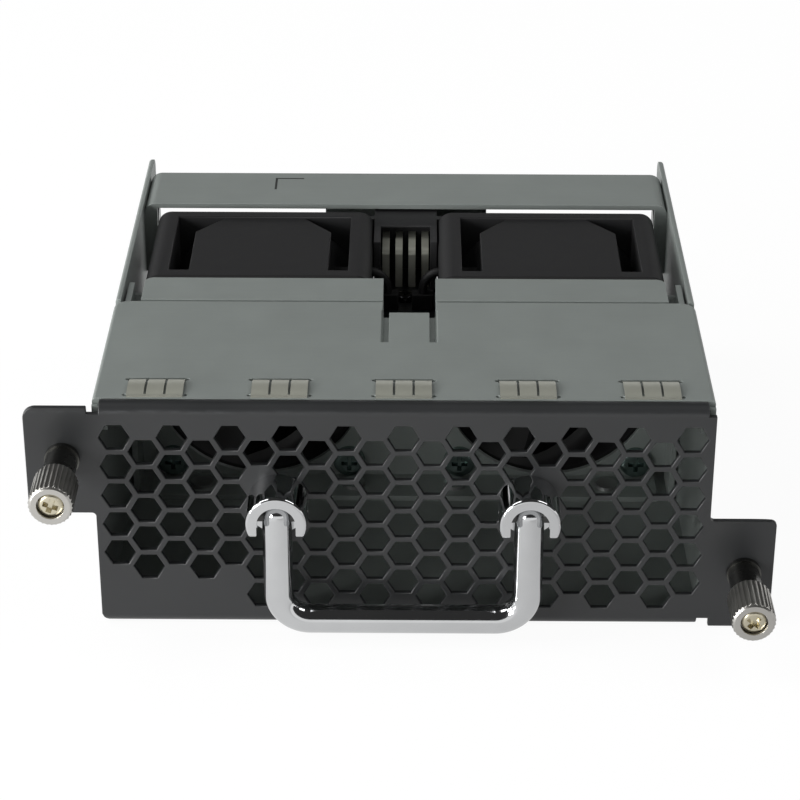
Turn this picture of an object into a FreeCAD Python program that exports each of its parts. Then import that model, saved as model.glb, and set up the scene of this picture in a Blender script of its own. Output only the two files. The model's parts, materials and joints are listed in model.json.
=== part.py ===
import FreeCAD, Part
import math
import os

# A slide-in fan tray for a rack chassis: two axial fans in a folded sheet-steel box with a
# perforated front panel, a hanging bail handle and two captive thumbscrews.
# Millimetres. X runs to the right, Y to the rear from the panel's front face, Z up from the
# underside. At the end every piece is moved so that the origin is the middle of the underside.

V = FreeCAD.Vector

# Sheet metal
sheet = 1.0
bend = 0.8
tray_edge = 0.6
seam = 0.2
lap = 2.3
fit = 0.03
press_fit = 0.01
cut_past = 1.0

# Fans
fan_size = 40.0
fan_depth = 28.0
fan_gap = 12.0
fan_side_gap = 3.0
fan_hole_inset = 4.0
fan_hole_radius = 1.75
fan_corner = 2.6
fan_hole_depth = 6.0
fan_hole_blind = 1.8
fan_flange = 2.5
fan_side_wall = 4.1
fan_gasket = 0.9
pocket_width = 3.5
pocket_flare = 4.9
pocket_flare_depth = 6.0
barrel_wall = 0.9
barrel_inset = 0.3
deck_inset = 0.3
blade_count = 7
blade_thickness = 0.9
blade_depth = 14.5
blade_twist = 48.0
blade_stations = 5
tip_clearance = 0.6
hub_radius = 11.0
hub_wall = 1.2
hub_depth = 17.0
hub_inset = 1.0
hub_boss_radius = 2.4
hub_boss_depth = 6.0
yoke_wall = 0.75
yoke_depth = 14.0
magnet_wall = 1.1
magnet_depth = 10.0
air_gap = 0.6
shaft_radius = 1.0
shaft_running_gap = 0.03
bearing_radius = 2.5
bearing_width = 2.5
bearing_tube_wall = 0.9
bearing_tube_depth = 16.0
motor_base_depth = 2.5
motor_board_thickness = 1.0
strut_count = 4
strut_width = 2.2
strut_angle = 45.0
core_depth = 6.0
core_ring_wall = 1.2
pole_count = 4
pole_angle = 45.0
pole_width = 2.0
pole_shoe_depth = 1.0
pole_shoe_angle = 72.0
coil_wall = 1.1
coil_gap = 0.12

# Box around the fans
panel_lip = 2.5
cover_depth = 36.35
cover_corner = 2.5
cover_edge = 0.7
cover_side_lip = 6.0
strip_depth = 7.95
strip_inset = 4.4
strip_corner = 1.6
flange_gap = 0.5
bridge_gap = 3.6
bridge_depth = 14.8
bridge_tab_drop = 13.0
bridge_corner = 2.2
bridge_stop = 1.4
wall_overhang = 8.25
wall_tip_radius = 2.2

# Rear notch of the cover and the tongue between two pressed grooves
notch_width = 9.1
notch_centre = 0.8
notch_depth = 4.55
tongue_width = 6.85
tongue_length = 11.3
groove_width = 1.35
groove_slope = 0.45
groove_depth = 1.0
groove_floor = 0.8
lead_gate_floor = 15.0

# Front panel
ear_width = 10.9
left_ear_height = 19.7
right_ear_height = 20.2
left_ear_drop = 0.4
left_ear_corner = 2.0
right_ear_corner = 0.9
ear_root = 0.7
panel_corner = 2.0
relief_width = 1.9
relief_inset = 1.2
relief_depth = 1.6
hex_flats = 4.4
hex_pitch = 5.36
hex_top_margin = 5.8
hex_bottom_margin = 5.0
hex_side_margin = 0.6
blank_width = 23.0
blank_height = 9.5

# Grounding clips on the cover
clip_count = 5
clip_pitch = 20.0
finger_count = 3
finger_width = 2.75
finger_gap = 0.4
clip_setback = 0.3
clip_depth = 6.05
clip_base = 0.7
clip_rise = 0.6
clip_sheet = 0.25
clip_tail = 1.6
clip_slot_gap = 0.2
clip_slot_behind = 0.55
clip_eye_radius = 0.35
clip_eye_setback = 0.9

# Bail handle
post_spacing = 40.6
post_height = 23.7
post_radius = 4.95
post_length = 8.0
post_land = 0.8
post_slot_width = 6.3
post_rim = 0.5
tine_drop = 2.2
tine_round = 0.5
pivot_reach = 4.6
rod_radius = 2.4
rod_end_gap = 0.5
bail_corner = 5.2
bail_ground_gap = 1.75
pin_radius = 1.0
pin_inset = 0.3
pin_running_gap = 0.05
post_screw_radius = 1.5
post_screw_head_radius = 2.7
post_screw_head = 1.6
post_screw_depth = 1.2

# Captive thumbscrews
left_screw_inset = 6.0
left_screw_drop = 9.6
right_screw_inset = 4.9
right_screw_rise = 10.55
knob_radius = 3.6
knob_length = 8.0
knob_standoff = 7.5
knob_chamfer = 0.5
knob_bore_radius = 2.8
knob_recess_radius = 2.2
knob_recess = 1.3
knob_web = 1.2
knurl_count = 30
knurl_depth = 0.22
knurl_groove_radius = 0.44
screw_head_radius = 2.05
screw_head = 1.1
screw_head_round = 0.35
recess_reach = 1.5
recess_half_width = 0.5
recess_depth = 0.77
screw_neck_radius = 1.1
thread_radius = 1.5
thread_length = 5.0
thread_gap = 0.12
screw_travel = 4.5
ferrule_radius = 2.6
ferrule_wall = 0.6
ferrule_lip = 0.6
ferrule_stop_gap = 0.2
ferrule_shoulder_radius = 2.85
ferrule_shoulder = 0.9
washer_thickness = 0.3
washer_gap = 0.05
washer_bore_gap = 0.06
spring_wire = 0.36
spring_wire_sides = 8
spring_turns = 8
spring_gap = 0.15

# Connector, board and leads between the fans
contact_count = 4
contact_pitch = 2.4
contact_width = 1.3
contact_run = 5.0
contact_bend = 1.15
contact_setback = 4.0
housing_side_gap = 0.2
housing_height = 10.1
housing_top_gap = 0.5
housing_setback = 2.9
housing_overhang = 1.4
housing_arm_length = 7.3
housing_flange = 1.4
housing_flange_gap = 0.3
housing_flange_reach = 1.4
housing_recess_width = 9.1
housing_mouth_depth = 3.0
housing_roof = 0.4
socket_depth = 12.0
socket_wall = 1.3
drop_width = 31.0
shelf_depth = 7.6
board_thickness = 1.6
board_front_gap = 0.3
contact_drop_below_top = 2.5
standoff_radius = 2.3
standoff_reach = 10.2
stud_radius = 1.4
board_screw_radius = 1.2
board_screw_head_radius = 1.8
board_screw_head = 1.2
board_screw_round = 0.6
board_screw_depth = 5.0
header_width = 4.0
header_depth = 2.6
header_height = 3.0
header_corner = 0.4
header_spacing = 6.4
header_gap = 0.4
lead_radius = 0.8
lead_straight = 0.8
lead_hole_gap = 0.4
lead_bend = 3.4

# Rivets and fan screws
rivet_radius = 1.2
rivet_head_radius = 2.0
rivet_head = 0.7
fan_screw_radius = 1.7
fan_screw_head_radius = 2.9
fan_screw_head = 1.5
fan_screw_round = 0.75
fan_screw_length = 5.5
cover_rivet_margin = 7.0
bracket_rivet_margin = 9.0
bridge_rivet_margin = 4.0

# Places that follow from the sizes above
panel_height = fan_size + sheet
half_width = fan_gap / 2 + fan_size + fan_side_gap + sheet
wall_inside = half_width - sheet
fan_x = (fan_gap + fan_size) / 2
fan_z = sheet + fan_size / 2
cover_front = panel_lip + seam
cover_rear = cover_front + cover_depth
bracket_front = cover_rear + seam
plate_front = bracket_front + strip_depth
plate_rear = plate_front + sheet
fan_front = plate_rear + fan_gasket
fan_rear = fan_front + fan_depth
bridge_front = fan_rear + bridge_gap
bridge_rear = bridge_front + bridge_depth
tray_rear = bridge_rear + wall_overhang
panel_inside = sheet + bend
cover_under = panel_height - sheet
knob_front = knob_standoff + knob_length
cavity_end = -knob_front + knob_recess + knob_web
barrel_outer = fan_size / 2 - barrel_inset
bore_radius = barrel_outer - barrel_wall
housing_top = cover_under - housing_top_gap
board_top = housing_top - housing_height
board_bottom = board_top - board_thickness
housing_front = fan_rear - housing_setback
lead_height = board_top + header_height + lead_straight + lead_bend
origin = V(0, (tray_rear - knob_front) / 2, 0)

nodes = {}


def block(x0, x1, y0, y1, z0, z1):
    return Part.makeBox(x1 - x0, y1 - y0, z1 - z0, V(x0, y0, z0))


def rod_x(y, z, radius, x0, x1):
    return Part.makeCylinder(radius, x1 - x0, V(x0, y, z), V(1, 0, 0))


def rod_y(x, z, radius, y0, y1):
    return Part.makeCylinder(radius, y1 - y0, V(x, y0, z), V(0, 1, 0))


def rod_z(x, y, radius, z0, z1):
    return Part.makeCylinder(radius, z1 - z0, V(x, y, z0), V(0, 0, 1))


def tube_y(x, z, outer, inner, y0, y1):
    return rod_y(x, z, outer, y0, y1).cut(rod_y(x, z, inner, y0, y1))


def prism(corners, along):
    """A solid between a polygon and its copy moved by the vector along."""
    return Part.Face(Part.makePolygon(corners + corners[:1])).extrude(along)


def edges_along(shape, axis, where):
    """The straight edges parallel to an axis whose middle point passes the test."""
    found = []
    for edge in shape.Edges:
        if not isinstance(edge.Curve, Part.Line):
            continue
        if abs(edge.Curve.Direction.dot(axis)) > 0.999 and where(edge.CenterOfMass):
            found.append(edge)
    return found


def near(a, b):
    return abs(a - b) < 1e-4


def round_edges(shape, axis, place):
    """The circular edges of a turned shape at one place along its axis."""
    return [e for e in shape.Edges
            if isinstance(e.Curve, Part.Circle) and near(e.CenterOfMass.dot(axis), place)]


def joined(first, *others):
    return first.fuse(list(others)).removeSplitter()


X_AXIS = V(1, 0, 0)
Y_AXIS = V(0, 1, 0)
Z_AXIS = V(0, 0, 1)
SIDES = (("left", -1), ("right", 1))


def screw_axis(name):
    """X and Z of a captive screw, from the edges of its ear."""
    if name == "left":
        return -(half_width + ear_width - left_screw_inset), panel_height - left_screw_drop
    return half_width + ear_width - right_screw_inset, right_screw_rise


# Front panel

def panel_ear(side, z_low, z_high, corner):
    outer = side * (half_width + ear_width)
    inner = side * half_width
    ear = block(min(outer, inner), max(outer, inner), 0, sheet, z_low, z_high)
    return ear.makeFillet(corner, edges_along(ear, Y_AXIS, lambda p: near(p.x, outer)))


def panel_reliefs():
    """Notches at the ends of the bent lips: beside each ear and at the upper right corner."""
    inside = half_width - relief_inset
    past = inside + relief_width
    top = (panel_height - relief_depth, panel_height + cut_past)
    bottom = (-cut_past, relief_depth)
    spans = [(-past, -inside, top), (inside, half_width + cut_past, top), (inside, past, bottom)]
    return [block(x0, x1, -cut_past, panel_lip + cut_past, *heights) for x0, x1, heights in spans]


def lower_left_waste():
    """What is cut off the panel's lower left corner to round it."""
    x = panel_corner - half_width
    waste = block(-half_width - cut_past, x, -cut_past, panel_lip + cut_past, -cut_past, panel_corner)
    return waste.cut(rod_y(x, panel_corner, panel_corner, -2 * cut_past, panel_lip + 2 * cut_past))


def hex_centres():
    """Centres of the grille's holes, clear of the blank corner and of the handle posts."""
    step = hex_pitch * math.sqrt(3) / 2
    reach = int((half_width - hex_side_margin - hex_flats / math.sqrt(3)) / step)
    for column in range(-reach, reach + 1):
        x = column * step
        lowered = hex_pitch / 2 if (column + reach) % 2 else 0
        z = panel_height - hex_top_margin - lowered
        while z > hex_bottom_margin:
            in_blank = x < blank_width - half_width and z < blank_height
            from_post = math.hypot(abs(x) - post_spacing / 2, z - post_height)
            if not in_blank and from_post > post_radius + post_land:
                yield x, z
            z -= hex_pitch


def hex_hole(x, z):
    radius = hex_flats / math.sqrt(3)
    angles = [math.radians(60 * corner) for corner in range(6)]
    corners = [V(x + radius * math.cos(a), -sheet, z + radius * math.sin(a)) for a in angles]
    return prism(corners, V(0, 3 * sheet, 0))


def front_panel():
    panel = block(-half_width, half_width, 0, sheet, 0, panel_height)
    for z in (0, cover_under):
        panel = panel.fuse(block(-half_width, half_width, 0, panel_lip, z, z + sheet))
    panel = panel.removeSplitter()
    outer = edges_along(panel, X_AXIS, lambda p: near(p.y, 0))
    panel = panel.makeFillet(bend + sheet, outer)
    inner = edges_along(panel, X_AXIS, lambda p: near(p.y, sheet))
    panel = panel.makeFillet(bend, inner)
    left_ear_low = panel_height - left_ear_height
    panel = joined(panel, panel_ear(-1, left_ear_low, panel_height - left_ear_drop, left_ear_corner),
                   panel_ear(1, 0, right_ear_height, right_ear_corner))
    roots = edges_along(panel, Y_AXIS, lambda p: near(abs(p.x), half_width)
                        and (near(p.z, left_ear_low) or near(p.z, right_ear_height)))
    panel = panel.makeFillet(ear_root, roots)
    cuts = [hex_hole(x, z) for x, z in hex_centres()]
    cuts += panel_reliefs()
    cuts.append(lower_left_waste())
    for name, side in SIDES:
        x, z = screw_axis(name)
        cuts.append(rod_y(x, z, ferrule_radius + fit, -sheet, 2 * sheet))
        cuts.append(rod_y(side * post_spacing / 2, post_height, post_screw_radius + fit, -sheet, 2 * sheet))
    return panel.cut(Part.makeCompound(cuts))


# Floor and side walls

def side_wall(side):
    """One wall: low under the cover, full height behind it, with a rounded rear tip."""
    step = cover_rear + seam
    outline = [V(0, panel_inside, sheet), V(0, cover_front, sheet), V(0, cover_front, 0), V(0, tray_rear, 0),
               V(0, tray_rear, panel_height), V(0, step, panel_height), V(0, step, cover_under),
               V(0, panel_inside, cover_under)]
    wall = prism(outline, V(sheet, 0, 0))
    tip = edges_along(wall, X_AXIS, lambda p: near(p.y, tray_rear))
    wall = wall.makeFillet(wall_tip_radius, tip)
    wall.translate(V(wall_inside if side > 0 else -half_width, 0, 0))
    return wall


def base_tray():
    floor = block(-half_width, half_width, cover_front, bridge_rear, 0, sheet)
    lip = block(-wall_inside, wall_inside, panel_inside, panel_lip + lap, sheet, 2 * sheet)
    tray = joined(floor, lip, side_wall(-1), side_wall(1))
    long_edges = edges_along(tray, Y_AXIS, lambda p: near(abs(p.x), half_width) and near(p.z, 0))
    tray = tray.makeFillet(tray_edge, long_edges)
    cuts = [rod_z(x, y, rivet_radius + fit, -sheet, 2 * sheet) for x, y in bracket_rivet_places()]
    cuts += [rod_x(y, z, rivet_radius + fit, x0, x0 + 3 * sheet)
             for x0 in (-half_width - sheet, wall_inside - sheet)
             for y, z in cover_rivet_places() + bridge_rivet_places()]
    cuts.append(rod_z(0, standoff_y(), stud_radius + fit, -sheet, 2 * sheet))
    return tray.cut(Part.makeCompound(cuts))


def cover_rivet_places():
    first = cover_front + lap + cover_rivet_margin
    last = cover_rear - cover_rivet_margin
    z = cover_under - cover_side_lip / 2
    return [(first, z), (last, z)]


def bracket_rivet_places():
    y = bracket_front + strip_depth / 2
    reach = half_width - strip_inset - bracket_rivet_margin
    return [(x, y) for x in (-reach, -notch_width, notch_width, reach)]


def bridge_rivet_places():
    z = cover_under - bridge_tab_drop / 2
    return [(bridge_front + bridge_rivet_margin, z), (bridge_rear - bridge_rivet_margin, z)]


# Cover with its notch and tongue

def tongue_groove(side):
    """The space of one pressed groove beside the tongue: upright inside, sloping outside."""
    front = cover_rear - notch_depth - tongue_length
    inner = notch_centre + side * tongue_width / 2
    outer = inner + side * groove_width
    floor = panel_height - groove_depth
    above = panel_height + cut_past
    section = [V(inner, front, floor), V(inner, front, above), V(outer, front, above),
               V(outer, front, panel_height), V(outer - side * groove_slope, front, floor)]
    return prism(section, V(0, tongue_length + cut_past, 0))


def groove_bead(side):
    """The sheet pressed down under one groove."""
    front = cover_rear - notch_depth - tongue_length
    inner = notch_centre + side * tongue_width / 2
    width = sorted((inner - side * groove_floor, inner + side * groove_width))
    return block(*width, front - groove_floor, front + tongue_length,
                 panel_height - groove_depth - groove_floor, cover_under)


def top_cover():
    cover = block(-half_width, half_width, cover_front, cover_rear, cover_under, panel_height)
    corners = edges_along(cover, Z_AXIS, lambda p: near(p.y, cover_rear))
    cover = cover.makeFillet(cover_corner, corners)
    long_edges = edges_along(cover, Y_AXIS, lambda p: near(abs(p.x), half_width) and near(p.z, panel_height))
    cover = cover.makeFillet(cover_edge, long_edges)
    notch = block(notch_centre - notch_width / 2, notch_centre + notch_width / 2, cover_rear - notch_depth,
                  cover_rear + sheet, cover_under - sheet, panel_height + sheet)
    cover = cover.cut(notch)
    lip_low = cover_under - sheet
    front_lip = block(-wall_inside, wall_inside, panel_inside, panel_lip + lap, lip_low, cover_under)
    side_lips = [block(x, x + sheet, panel_lip + lap, cover_rear - cover_corner, cover_under - cover_side_lip,
                       cover_under) for x in (-wall_inside, wall_inside - sheet)]
    cover = joined(cover, groove_bead(-1), groove_bead(1), front_lip, *side_lips)
    cuts = [tongue_groove(-1), tongue_groove(1)]
    slot_front, slot_rear = clip_slot()
    for x in clip_places():
        reach = clip_width() / 2
        cuts.append(block(x - reach - clip_slot_gap, x + reach + clip_slot_gap, slot_front, slot_rear,
                          cover_under - sheet, panel_height + sheet))
        for side in (-1, 1):
            eye_x = x + side * (reach + clip_eye_radius)
            for eye_y in (cover_front + clip_setback + clip_eye_setback, (slot_front + slot_rear) / 2):
                cuts.append(rod_z(eye_x, eye_y, clip_eye_radius, lip_low - sheet, panel_height + sheet))
    cuts += [rod_x(y, z, rivet_radius + fit, x0, x0 + 3 * sheet)
             for x0 in (-half_width, wall_inside - 2 * sheet) for y, z in cover_rivet_places()]
    return cover.cut(Part.makeCompound(cuts))


# Grounding clips

def clip_places():
    middle = (clip_count - 1) / 2
    return [(i - middle) * clip_pitch for i in range(clip_count)]


def clip_width():
    return finger_count * finger_width + (finger_count - 1) * finger_gap


def clip_rear():
    return cover_front + clip_setback + clip_depth


def clip_slot():
    """Front and rear of the slot that takes a clip's fingers, open a little behind them."""
    return clip_rear() - clip_slot_gap, clip_rear() + clip_sheet + clip_slot_behind


def grounding_clip(x):
    """Thin strip on the cover whose fingers arch back and tuck into the slot."""
    front = cover_front + clip_setback
    start = front + clip_base
    rear = clip_rear()
    middle = (start + rear) / 2
    low = panel_height
    back = rear + clip_sheet
    upper = Part.Arc(V(0, start, low + clip_sheet), V(0, middle, low + clip_rise), V(0, back, low))
    lower = Part.Arc(V(0, start, low), V(0, middle, low + clip_rise - clip_sheet), V(0, rear, low))
    tail = low - clip_tail
    edges = [upper.toShape(), lower.toShape(), Part.makeLine(V(0, back, low), V(0, back, tail)),
             Part.makeLine(V(0, back, tail), V(0, rear, tail)),
             Part.makeLine(V(0, rear, tail), V(0, rear, low)),
             Part.makeLine(V(0, start, low), V(0, start, low + clip_sheet))]
    finger = Part.Face(Part.Wire(Part.__sortEdges__(edges))).extrude(V(finger_width, 0, 0))
    left = x - clip_width() / 2
    clip = block(left, left + clip_width(), front, start, low, low + clip_sheet)
    for i in range(finger_count):
        copy = finger.copy()
        copy.translate(V(left + i * (finger_width + finger_gap), 0, 0))
        clip = clip.fuse(copy)
    return clip.removeSplitter()


# Fan bracket and rear bridge

def fan_hole_places():
    half = fan_size / 2 - fan_hole_inset
    return [(side * fan_x + dx, fan_z + dz)
            for _, side in SIDES for dx in (-half, half) for dz in (-half, half)]


def bracket_strip(z0, z1):
    """A flange folded forward from the plate, with rounded rear corners."""
    reach = half_width - strip_inset
    strip = block(-reach, reach, bracket_front, plate_rear, z0, z1)
    return strip.makeFillet(strip_corner, edges_along(strip, Z_AXIS, lambda p: near(p.y, plate_rear)))


def fan_bracket():
    reach = half_width - strip_inset
    plate = block(strip_corner - reach, reach - strip_corner, plate_front, plate_rear, sheet, panel_height)
    bracket = joined(plate, bracket_strip(sheet, 2 * sheet), bracket_strip(cover_under, panel_height))
    for side in (-1, 1):
        outer = wall_inside - flange_gap
        flange_x = sorted((side * (outer - sheet), side * outer))
        web_x = sorted((side * (reach - 2 * strip_corner), side * outer))
        flange = block(*flange_x, bracket_front, plate_rear, sheet, cover_under)
        web = block(*web_x, plate_front, plate_rear, 3 * sheet, cover_under - 2 * sheet)
        bracket = joined(bracket, flange, web)
    cuts = [rod_y(side * fan_x, fan_z, bore_radius, plate_front - sheet, plate_rear + sheet)
            for _, side in SIDES]
    cuts += [rod_y(x, z, fan_screw_radius + fit, plate_front - sheet, plate_rear + sheet)
             for x, z in fan_hole_places()]
    cuts += [rod_z(x, y, rivet_radius + fit, 0, 3 * sheet) for x, y in bracket_rivet_places()]
    cuts.append(block(notch_centre - notch_width / 2, notch_centre + notch_width / 2, bracket_front - sheet,
                      plate_rear + sheet, lead_gate_floor, panel_height + sheet))
    return bracket.cut(Part.makeCompound(cuts))


def rear_bridge():
    top = block(-wall_inside, wall_inside, bridge_front, bridge_rear, cover_under, panel_height)
    tabs = [block(x, x + sheet, bridge_front, bridge_rear, cover_under - bridge_tab_drop, panel_height)
            for x in (-wall_inside, wall_inside - sheet)]
    half = drop_width / 2
    plate_back = bridge_rear - sheet
    plate = block(-half, half, plate_back, bridge_rear, board_bottom - sheet, panel_height)
    shelf = block(-housing_half_width(), housing_half_width(), bridge_rear - shelf_depth, bridge_rear,
                  board_bottom - sheet, board_bottom)
    bridge = joined(top, plate, shelf, *tabs)
    folds = edges_along(bridge, Y_AXIS, lambda p: near(abs(p.x), wall_inside) and near(p.z, panel_height))
    bridge = bridge.makeFillet(bridge_corner, folds)
    inside = wall_inside - sheet
    folds = edges_along(bridge, Y_AXIS, lambda p: near(abs(p.x), inside) and near(p.z, cover_under))
    bridge = bridge.makeFillet(bridge_corner - sheet, folds)
    stops = [block(x, x + bridge_stop, bridge_front, bridge_front + sheet, cover_under - bridge_tab_drop,
                   cover_under) for x in (-inside, inside - bridge_stop)]
    bridge = joined(bridge, *stops)
    reach = housing_half_width() + fit
    cuts = [block(-reach, reach, plate_back - sheet, bridge_rear + sheet, board_bottom, housing_top + fit)]
    cuts += [rod_x(y, z, rivet_radius + fit, x0, x0 + 3 * sheet)
             for x0 in (-half_width, wall_inside - 2 * sheet) for y, z in bridge_rivet_places()]
    return bridge.cut(Part.makeCompound(cuts))


# Rivets

def floor_rivets():
    """Flush below the floor, with a low head on the bracket's flange."""
    rivets = []
    for x, y in bracket_rivet_places():
        shank = rod_z(x, y, rivet_radius, 0, 2 * sheet)
        rivets.append(joined(shank, rod_z(x, y, rivet_head_radius, 2 * sheet, 2 * sheet + rivet_head)))
    return Part.makeCompound(rivets)


def wall_rivets(places):
    """Flush with the outside of each wall, with a low head inside."""
    rivets = []
    for y, z in places:
        for side in (-1, 1):
            ends = sorted((side * half_width, side * (wall_inside - sheet)))
            head = sorted((side * (wall_inside - sheet), side * (wall_inside - sheet - rivet_head)))
            rivets.append(joined(rod_x(y, z, rivet_radius, *ends), rod_x(y, z, rivet_head_radius, *head)))
    return Part.makeCompound(rivets)


def fan_screws():
    """Self-tapping screws through the bracket's plate into the fans' corner holes."""
    screws = []
    for x, z in fan_hole_places():
        head = rod_y(x, z, fan_screw_head_radius, plate_front - fan_screw_head, plate_front)
        head = head.makeFillet(fan_screw_round, round_edges(head, Y_AXIS, plate_front - fan_screw_head))
        shank = rod_y(x, z, fan_screw_radius, plate_front, plate_front + fan_screw_length)
        screws.append(joined(head, shank))
    return Part.makeCompound(screws)


# Fan frame and motor

def fan_pockets(x):
    """Corner pockets, open above or below, that flare towards the rear flange."""
    outer = fan_size / 2 - fan_side_wall
    inner = outer - pocket_width
    front = fan_front + fan_flange
    rear = fan_rear - fan_flange
    plan = [(outer, front), (outer, rear), (inner - pocket_flare, rear),
            (inner, rear - pocket_flare_depth), (inner, front)]
    barrel = rod_y(x, fan_z, barrel_outer, fan_front, fan_rear)
    pockets = []
    for side in (-1, 1):
        corners = [V(x + side * u, y, fan_z - fan_size) for u, y in plan]
        pockets.append(prism(corners, V(0, 0, 2 * fan_size)).cut(barrel))
    return pockets


def fan_decks(x):
    """The shallow recess of the deck between the pockets, above and below."""
    reach = fan_size / 2 - fan_side_wall - pocket_width
    level = fan_size / 2 - deck_inset
    return [block(x - reach, x + reach, fan_front + fan_flange, fan_rear - fan_flange, *heights)
            for heights in ((fan_z + level, fan_z + fan_size), (fan_z - fan_size, fan_z - level))]


def fan_corner_holes(x, y0, y1):
    reach = fan_size / 2 - fan_hole_inset
    return [rod_y(x + dx, fan_z + dz, fan_hole_radius, y0, y1)
            for dx in (-reach, reach) for dz in (-reach, reach)]


def square_ring(x, y0, y1):
    """The fan's square outline with its corners rounded and the bore cut out."""
    half = fan_size / 2
    ring = block(x - half, x + half, y0, y1, fan_z - half, fan_z + half)
    ring = ring.makeFillet(fan_corner, edges_along(ring, Y_AXIS, lambda p: True))
    return ring.cut(rod_y(x, fan_z, bore_radius, y0 - cut_past, y1 + cut_past))


def fan_seal(x):
    """Foam gasket between the bracket's plate and the fan."""
    seal = square_ring(x, plate_rear, fan_front)
    return seal.cut(Part.makeCompound(fan_corner_holes(x, plate_rear - cut_past, fan_front + cut_past)))


def fan_frame(x):
    """Square frame round the bore, with pockets, sunk decks and the motor seat on struts."""
    frame = square_ring(x, fan_front, fan_rear).cut(fan_pockets(x) + fan_decks(x))
    seat_front = fan_rear - motor_base_depth
    seat = rod_y(x, fan_z, hub_radius, seat_front, fan_rear)
    for i in range(strut_count):
        strut = block(hub_radius - hub_wall, bore_radius + barrel_wall / 2, seat_front, fan_rear,
                      -strut_width / 2, strut_width / 2)
        strut.rotate(V(0, 0, 0), Y_AXIS, strut_angle + 360 * i / strut_count)
        strut.translate(V(x, 0, fan_z))
        seat = seat.fuse(strut)
    tube = rod_y(x, fan_z, bearing_tube_radius(), seat_front - bearing_tube_depth, seat_front)
    bore = rod_y(x, fan_z, bearing_radius, seat_front - bearing_tube_depth - sheet, seat_front)
    frame = frame.fuse([seat, tube]).cut(bore)
    holes = fan_corner_holes(x, fan_front - cut_past, fan_front + fan_hole_depth)
    holes += fan_corner_holes(x, fan_rear - fan_hole_blind, fan_rear + cut_past)
    inner = math.copysign(fan_gap / 2, x)
    wall = sorted((inner - math.copysign(sheet, x), inner + math.copysign(fan_side_wall + sheet, x)))
    holes.append(rod_x(header_y(), lead_height, lead_radius + lead_hole_gap, *wall))
    return frame.cut(Part.makeCompound(holes)).removeSplitter()


def bearing_tube_radius():
    return bearing_radius + bearing_tube_wall


def tube_front():
    return fan_rear - motor_base_depth - bearing_tube_depth


def rotor_inside():
    return hub_radius - hub_wall


def impeller_blade(x):
    """One helical blade, lofted through radial strips that turn as they go back."""
    front = fan_front + hub_inset + (hub_depth - blade_depth) / 2
    root = hub_radius - hub_wall / 2
    tip = bore_radius - tip_clearance
    half = blade_thickness / 2
    strips = []
    for i in range(blade_stations):
        along = i / (blade_stations - 1)
        angle = math.radians(blade_twist * along)
        outward = V(math.cos(angle), 0, math.sin(angle))
        across = V(-math.sin(angle), 0, math.cos(angle))
        centre = V(x, front + blade_depth * along, fan_z)
        corners = [centre + outward * r + across * w
                   for r, w in ((root, -half), (tip, -half), (tip, half), (root, half))]
        strips.append(Part.makePolygon(corners + corners[:1]))
    return Part.makeLoft(strips, True, True)


def impeller(x):
    front = fan_front + hub_inset
    hub = rod_y(x, fan_z, hub_radius, front, front + hub_depth)
    hub = hub.makeFillet(hub_wall / 2, round_edges(hub, Y_AXIS, front))
    hub = hub.cut(rod_y(x, fan_z, rotor_inside(), front + hub_wall, fan_rear))
    boss = rod_y(x, fan_z, hub_boss_radius, front + hub_wall, front + hub_wall + hub_boss_depth)
    hub = hub.fuse(boss)
    blade = impeller_blade(x)
    for i in range(blade_count):
        copy = blade.copy()
        copy.rotate(V(x, 0, fan_z), Y_AXIS, 360 * i / blade_count)
        hub = hub.fuse(copy)
    hub = hub.cut(rod_y(x, fan_z, rotor_inside(), front + hub_wall + hub_boss_depth, fan_rear))
    return hub.cut(rod_y(x, fan_z, shaft_radius + press_fit, front + hub_wall, fan_rear)).removeSplitter()


def fan_shaft(x):
    return rod_y(x, fan_z, shaft_radius, fan_front + hub_inset + hub_wall, fan_rear - motor_base_depth - fit)


def rotor_yoke(x):
    front = fan_front + hub_inset + hub_wall
    outer = rotor_inside() - press_fit
    return tube_y(x, fan_z, outer, outer - yoke_wall, front, front + yoke_depth)


def magnet_outer():
    return rotor_inside() - yoke_wall - fit


def rotor_magnet(x):
    front = fan_front + hub_inset + hub_wall + (yoke_depth - magnet_depth) / 2
    return tube_y(x, fan_z, magnet_outer(), magnet_outer() - magnet_wall, front, front + magnet_depth)


def fan_bearings(x):
    """Two bearings in the tube, running on the shaft."""
    rings = []
    for front in (tube_front(), fan_rear - motor_base_depth - bearing_width):
        rings.append(tube_y(x, fan_z, bearing_radius - press_fit, shaft_radius + shaft_running_gap,
                            front, front + bearing_width))
    return Part.makeCompound(rings)


def core_outer():
    return magnet_outer() - magnet_wall - air_gap


def core_front():
    return fan_front + hub_inset + hub_wall + (yoke_depth - core_depth) / 2


def stator_core(x):
    """Ring on the bearing tube with poles whose shoes face the magnet."""
    front = core_front()
    rear = front + core_depth
    inner = bearing_tube_radius() + press_fit
    ring = rod_y(x, fan_z, inner + core_ring_wall, front, rear)
    shoe = tube_y(0, 0, core_outer(), core_outer() - pole_shoe_depth, front, rear)
    sweep = math.radians(pole_shoe_angle / 2)
    far = 2 * core_outer()
    wedge = prism([V(0, front, 0), V(far * math.cos(sweep), front, far * math.sin(sweep)),
                   V(far * math.cos(sweep), front, -far * math.sin(sweep))], V(0, core_depth, 0))
    shoe = shoe.common(wedge)
    neck = block(inner, core_outer() - pole_shoe_depth / 2, front, rear, -pole_width / 2, pole_width / 2)
    pole = shoe.fuse(neck)
    for i in range(pole_count):
        copy = pole.copy()
        copy.rotate(V(0, 0, 0), Y_AXIS, pole_angle + 360 * i / pole_count)
        copy.translate(V(x, 0, fan_z))
        ring = ring.fuse(copy)
    return ring.cut(rod_y(x, fan_z, inner, front - sheet, rear + sheet)).removeSplitter()


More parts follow.
